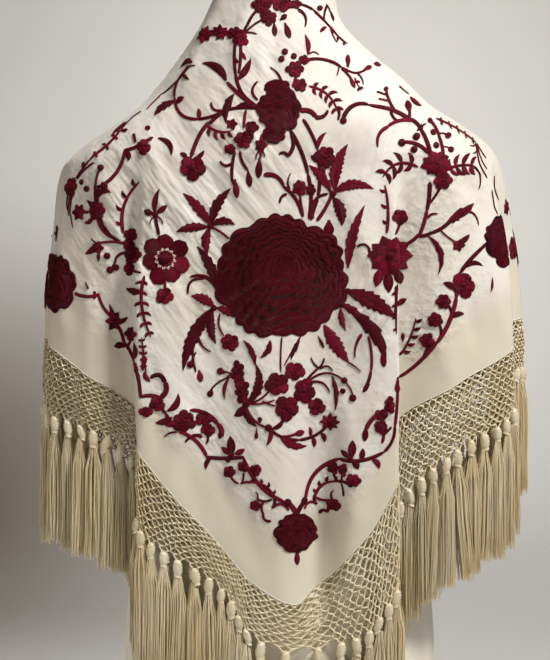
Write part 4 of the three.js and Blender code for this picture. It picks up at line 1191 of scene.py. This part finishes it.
def edge_angles():
    """Angle against the length walked along the net's lower edge."""
    fine = np.linspace(-FRONT_EDGE + 0.4, FRONT_EDGE - 0.4, 4001)
    return walked_along(plain_cloth(fine, net_z(fine) + 12)), fine


WALK, WALK_ANGLE = edge_angles()
TASSELS = int(round(WALK[-1] / TASSEL_STEP))


def edge_lean():
    """How far the net's rows move sideways on their way down, so that they run square to the hem:
    drop * slope / (1 + slope^2), evened out over about 100 mm."""
    slope = np.gradient(hem_z(WALK_ANGLE), np.maximum(WALK, 0))
    lean = curve(HEM, 2, WALK_ANGLE) * slope / (1 + slope**2)
    even = np.hanning(301)
    ends = np.pad(lean, 150, mode="edge")
    even_lean = np.convolve(ends, even / even.sum(), "valid")
    return np.clip(even_lean, -MOST_LEAN, MOST_LEAN) * LEAN_SHARE


LEAN = edge_lean()


def net_row(layer, row):
    """The knots of one row at every half column, each a little off its even place."""
    inward, lift = LAYERS[layer]
    column = np.arange(4 * TASSELS + 1) / 2.0
    jitter = np.random.default_rng(layer * 100 + row).normal(0, 1, (3,) + column.shape)
    share = row / CELL_ROWS
    walked = (column + 0.08 * jitter[0]) * WALK[-1] / (2 * TASSELS)
    from_end = np.minimum(walked, WALK[-1] - walked)
    walked = walked + share * np.interp(walked, WALK, LEAN) * smooth(from_end, 0, 60)
    angle = np.interp(walked, WALK, WALK_ANGLE)
    if 0 < row < CELL_ROWS:
        share = share + 0.012 * jitter[1]
    z = hem_z(angle) + lift - share * (curve(HEM, 2, angle) + 0.5 * lift)
    belly = 1.2 * np.sin(np.pi * share) * (1 if layer == OUTER else -1)
    sway = inward - belly + 0.35 * jitter[2]
    return cloth(angle, z) - plain_normal(angle, z) * sway[..., None]


NODES = {layer: [net_row(layer, row) for row in range(CELL_ROWS + 1)] for layer in LAYERS}


def make_net(layer):
    """A knotted net: even rows at whole columns, odd rows half a column on, and two strands down
    from each knot. The strands swell to the knots at both ends."""
    paths = []
    for row in range(CELL_ROWS):
        upper, lower = NODES[layer][row], NODES[layer][row + 1]
        start = 2 * np.arange(2 * TASSELS) + row % 2
        for turn in (-1, 1):
            i = start[(start + turn >= 0) & (start + turn <= 4 * TASSELS - 1)]
            a, b, down = upper[i], lower[i + turn], lower[i] - upper[i]
            paths.append(np.stack([a, a + 0.24 * down, b - 0.24 * down, b], 1))
    radii = np.array([1.2, 0.95, 0.95, 1.2]) * (1 if layer == OUTER else 0.8)
    return tubes(np.concatenate(paths), radii, 3)


def tassel_heads(layer):
    """Top, outward direction and direction along the edge of each tassel: under the middle of its
    pair of net cells."""
    foot = NODES[layer][CELL_ROWS]
    middle = 4 * np.arange(TASSELS) + 2
    top = (foot[middle] + foot[middle - 1] + foot[middle + 1]) / 3 - (0, 0, 3.5)
    angle = np.interp((middle / 2) * WALK[-1] / (2 * TASSELS), WALK, WALK_ANGLE)
    out = plain_normal(angle, net_z(angle))
    out[:, 2] = 0
    out /= np.linalg.norm(out, axis=1, keepdims=True)
    return top, out, np.stack([-out[:, 1], out[:, 0], 0 * out[:, 0]], 1)


def make_links(layer, sides):
    """The cords that gather the net's last row into each tassel's head."""
    low = (tassel_heads(layer)[0] - (0, 0, 1.5))[:, None]
    t = np.linspace(0, 1, 4)[None, :, None]
    feet = [NODES[layer][CELL_ROWS][4 * np.arange(TASSELS) + k][:, None] for k in (1, 3)]
    paths = np.concatenate([foot * (1 - t) + low * t for foot in feet])
    return tubes(paths, np.array([1.1, 0.7, 0.8, 1.3]), sides)


# The knotted head: drop below its top, half width, half thickness
KNOT = np.array([
    (-1, 1.2, 1.0), (0.6, 3.0, 2.6), (2.0, 4.2, 3.7), (3.1, 3.5, 3.0), (4.6, 5.0, 4.3),
    (6.0, 4.0, 3.5), (7.5, 5.0, 4.3), (8.9, 3.9, 3.4), (10.3, 4.4, 3.9), (11.6, 3.0, 2.7),
    (13, 3.2, 2.9), (15, 3.4, 3.0),
], float)


def make_knots(layer, scale, sides):
    """Wound heads: rings of the knot table round each tassel's axis, tilted and sized a little
    unevenly."""
    top, out, along = tassel_heads(layer)
    r = np.random.default_rng(layer + 5)
    size = scale * r.uniform(0.9, 1.1, TASSELS)[:, None, None, None]
    lean = r.normal(0, 0.09, (TASSELS, 1, 1, 1))
    wound = r.choice([-1, 1], (TASSELS, 1, 1, 1)) * r.uniform(0.8, 2.0, (TASSELS, 1, 1, 1))
    a = (np.arange(sides) * 2 * np.pi / sides)[None, None, :, None]
    drop, wide, thick = (KNOT[:, k][None, :, None, None] for k in range(3))
    p = (top[:, None, None] + along[:, None, None] * (np.cos(a) * wide * size + lean * drop)
         + out[:, None, None] * np.sin(a) * thick * size
         - np.array((0, 0, 1)) * (drop * size + wound * np.cos(a) * wide / 5))
    faces = grid_faces(len(KNOT), sides, True)[:, ::-1]
    return p.reshape(-1, 3), repeated(faces, TASSELS, len(KNOT) * sides)


# A thread: share of its length, radius
THREAD = np.array([(0, 0.46), (0.08, 0.47), (0.22, 0.45), (0.5, 0.42), (0.8, 0.37), (1.0, 0.18)])


def make_skirts(layer, strands, scale, low, high):
    """The hanging threads of the tassels from one angle to another: from a bunch under the knot
    they spread in the first fifth, then fall with a slow wander and ragged ends."""
    top, out, along = tassel_heads(layer)
    r = np.random.default_rng(layer + 9)
    t = THREAD[None, None, :, 0]
    turn = r.uniform(0, 2 * np.pi, (TASSELS, strands, 1))
    far = np.sqrt(r.uniform(0.02, 1, (TASSELS, strands, 1)))
    open_out = 2.8 + 5.0 * smooth(t, 0.02, 0.2) + 1.0 * t
    length = (116 + 3 * np.sin(np.arange(TASSELS) * 2.4))[:, None, None]
    length = length - 13 * r.beta(1.2, 3, turn.shape)
    every = (TASSELS, strands, len(THREAD))
    sway = r.normal(0, 1.0, (TASSELS, 1, 1)) * 3.2 * t**1.5
    side = far * open_out * np.cos(turn) * scale + sway + r.normal(0, 0.4, every) * (t > 0)
    front = far * open_out * np.sin(turn) * 0.62 * scale + r.normal(0, 0.35, every) * (t > 0)
    front = front + r.normal(0, 1.2, (TASSELS, 1, 1)) * t
    p = (top[:, None, None] + along[:, None, None] * side[..., None]
         + out[:, None, None] * front[..., None]
         - np.array((0, 0, 1)) * (12.5 + t * length)[..., None])
    turned_by = np.abs(angle_of(top))
    paths = p[(turned_by >= low) & (turned_by < high)].reshape(-1, len(THREAD), 3)
    return tubes(paths, THREAD[:, 1], 3)


OUTER_NET = dress(mesh_piece("net_outer", *make_net(OUTER)), NET_SILK, "net_left", "net_right",
                  slot="silk_cord")
INNER_NET = dress(mesh_piece("net_inner", *make_net(INNER)), NET_SILK, slot="silk_cord")
heads = joined([make_knots(OUTER, 1.0, 9), make_links(OUTER, 5),
                make_knots(INNER, 0.85, 7), make_links(INNER, 4)])
KNOTS = dress(mesh_piece("fringe_knots", *heads), KNOT_SILK, slot="silk_cord")

FRINGE_NODES = ("fringe_front_left", "fringe_side_left", "fringe_back_left", "fringe_back_right",
                "fringe_side_right", "fringe_front_right")
SKIRT_BACK = dress(mesh_piece("fringe_back", *make_skirts(OUTER, 96, 1.0, 0, 80)), FRINGE_SILK,
                   *FRINGE_NODES, slot="silk_cord")
SKIRT_FRONT = dress(mesh_piece("fringe_front", *make_skirts(OUTER, 46, 1.05, 80, 181)),
                    FRINGE_SILK, slot="silk_cord")
SKIRT_INNER = dress(mesh_piece("fringe_inner", *make_skirts(INNER, 22, 1.05, 0, 181)),
                    FRINGE_SILK, slot="silk_cord")

# The dress form and its stand


def ring_surface(rows, sides, square, name):
    """A closed body of superellipse rings: rows of z, half width, depth back and front."""
    a = np.arange(sides) * 360.0 / sides
    a = np.where(a > 180, a - 360, a)
    z, wide, back, front = (rows[:, k][:, None] for k in range(4))
    r = outline(a[None], wide, wide, back, front, square)
    return mesh_piece(name, round_points(r, a, z), grid_faces(len(rows), sides, True)[:, ::-1])


def form_rows():
    """The form's rings by its table, closed by rings that shrink to the middle below and above."""
    z = np.concatenate([np.linspace(152, 200, 12), np.linspace(208, 942, 92)])
    body = np.stack([z] + [curve(FORM, k, z) for k in (1, 2, 3)], 1)
    foot = body[0] * np.array([[1, s, s, s] for s in (0.02, 0.5, 0.93, 0.985)])
    foot[2:, 0] += (0, 0.4)
    head = body[-1] * np.array([[1, s, s, s] for s in (0.98, 0.9, 0.4, 0.02)])
    return np.concatenate([foot, body, head])


TORSO = dress(ring_surface(form_rows(), 112, FORM_SQUARE, "form_linen"), LINEN, "form_torso",
              slot="linen")


def turned(profile, name, sides=96):
    """A lathe: rings of radius r at height z, first and last on the axis."""
    rows = np.array([(z, max(r, 0.02), max(r, 0.02), max(r, 0.02)) for r, z in profile], float)
    return ring_surface(rows, sides, 2.0, name)


# The neck's cap: height, share of the neck's half width and depths
NECK = np.array((49.5, 54.2, 50))
cap_rows = np.array([(z, *(s * NECK)) for z, s in (
    (942.9, 0.02), (942.9, 0.7), (942.9, 1.02), (943.6, 1.035), (946, 1.045), (949, 1.04),
    (951.5, 1.0), (953.4, 0.95), (954.8, 0.88), (955.4, 0.8), (955.8, 0.4), (956, 0.02))], float)
dress(ring_surface(cap_rows, 96, FORM_SQUARE, "form_cap"), BEECH, "form_neck_cap", slot="beech")
dress(turned([(0, 142.1), (44, 142.1), (46, 143.5), (46, 149.8), (45, 151.1), (0, 151.1)],
             "form_ring"), BEECH, "form_flange", slot="beech")
dress(turned([(0, 44.9), (15.6, 44.9), (16, 45.4), (16, 140.8), (15.6, 141.2), (0, 141.2)],
             "form_stem"), BEECH, "form_pole", slot="beech")
dress(turned([(0, 0), (149, 0), (150, 1), (150, 9.5), (149.2, 11.6), (147.4, 13.2), (145, 14),
              (38, 14), (35.4, 14.6), (34.2, 16.4), (30.4, 38), (29.6, 40.6), (28, 42.8),
              (25.6, 44), (0, 44)], "form_foot"), METAL, "form_base", slot="black_metal")

# Floor, backdrop, lights and camera


def paint_material():
    """Matt pale paint with a painted shadow: darker towards the lower left, low down and far back.
    """
    n = Nodes("pale paint")
    tone = n.mix(n.times(n.noise(3), 0.08), colour("#DDDCDA"), colour("#8F8880"))
    x, y, z = n.add("SeparateXYZ", {0: n.at()}).outputs
    # painted shadow: towards the lower left, low down and far behind the form, the paint turns dark
    # taupe
    shade = n.times(n.times(n.ramp(x, 0.3, -1.0), n.ramp(z, 1.3, -0.1)), n.ramp(y, 0.3, 1.2))
    return n.finish({"Base Color": n.mix(shade, tone, colour("#6F6258")), "Roughness": 0.9,
                     "Normal": n.bump(n.noise(220), 0.05, 0.002)})


def backdrop():
    """A pale floor that sweeps up into a wall far behind the form, by a quarter circle."""
    radius, start, across = 2600, 1900, 9
    turn = np.radians(np.linspace(0, 90, 25))
    y = np.concatenate([[-9000, 1500], start + radius * np.sin(turn), [start + radius]])
    z = np.concatenate([[0, 0], radius - radius * np.cos(turn), [7000]]) - 0.5
    x = np.linspace(-8000, 8000, across)
    points = np.stack(np.broadcast_arrays(x[None, :], y[:, None], z[:, None]), -1) * MM
    obj = bpy.data.objects.new("sweep", bpy.data.meshes.new("sweep"))
    faces = grid_faces(len(y), across)[:, ::-1]
    obj.data.from_pydata(points.reshape(-1, 3).tolist(), [], faces.tolist())
    obj.data.shade_smooth()
    bpy.context.scene.collection.objects.link(obj)
    obj.data.materials.append(paint_material())


backdrop()


def area_light(name, place, aim, size, watts, tint, spread=180):
    """A rectangular lamp at a place, turned to face its aim, in metres, watts and degrees."""
    lamp = bpy.data.lights.new(name, "AREA")
    lamp.shape = "RECTANGLE"
    lamp.size, lamp.size_y = size
    lamp.energy = watts
    lamp.color = colour(tint)[:3]
    lamp.spread = math.radians(spread)
    obj = bpy.data.objects.new(name, lamp)
    obj.location = place
    way = np.array(aim) - np.array(place)
    obj.rotation_euler = (math.atan2(math.hypot(way[0], way[1]), -way[2]), 0,
                          math.atan2(-way[0], way[1]))
    obj.visible_camera = False
    bpy.context.scene.collection.objects.link(obj)


area_light("window", (1.25, -1.15, 2.5), (0.08, 0, 0.65), (0.55, 0.55), 33, "#FFFDFA", 110)
area_light("fill", (-1.65, -1.15, 0.5), (-0.05, 0, 0.4), (1.2, 0.8), 9, "#FAF4EA")
area_light("wall_wash", (1.2, -0.4, 3.6), (0.1, 4.2, 1.4), (2.0, 1.4), 47, "#FFFCF8", 80)

world = bpy.data.worlds.new("room")
bpy.context.scene.world = world
world.use_nodes = True
sky = world.node_tree.nodes["Background"]
sky.inputs[0].default_value = colour("#E8E1D6")
sky.inputs[1].default_value = 0.12

camera = bpy.data.cameras.new("camera")
camera.lens, camera.sensor_width, camera.sensor_fit = LENS, SENSOR, "AUTO"
camera.clip_start = 0.05
eye = bpy.data.objects.new("camera", camera)
eye.location = CAMERA * MM
eye.rotation_euler = (math.pi / 2, 0, 0)
bpy.context.scene.collection.objects.link(eye)
bpy.context.scene.camera = eye
bpy.context.scene.view_settings.view_transform = "Standard"
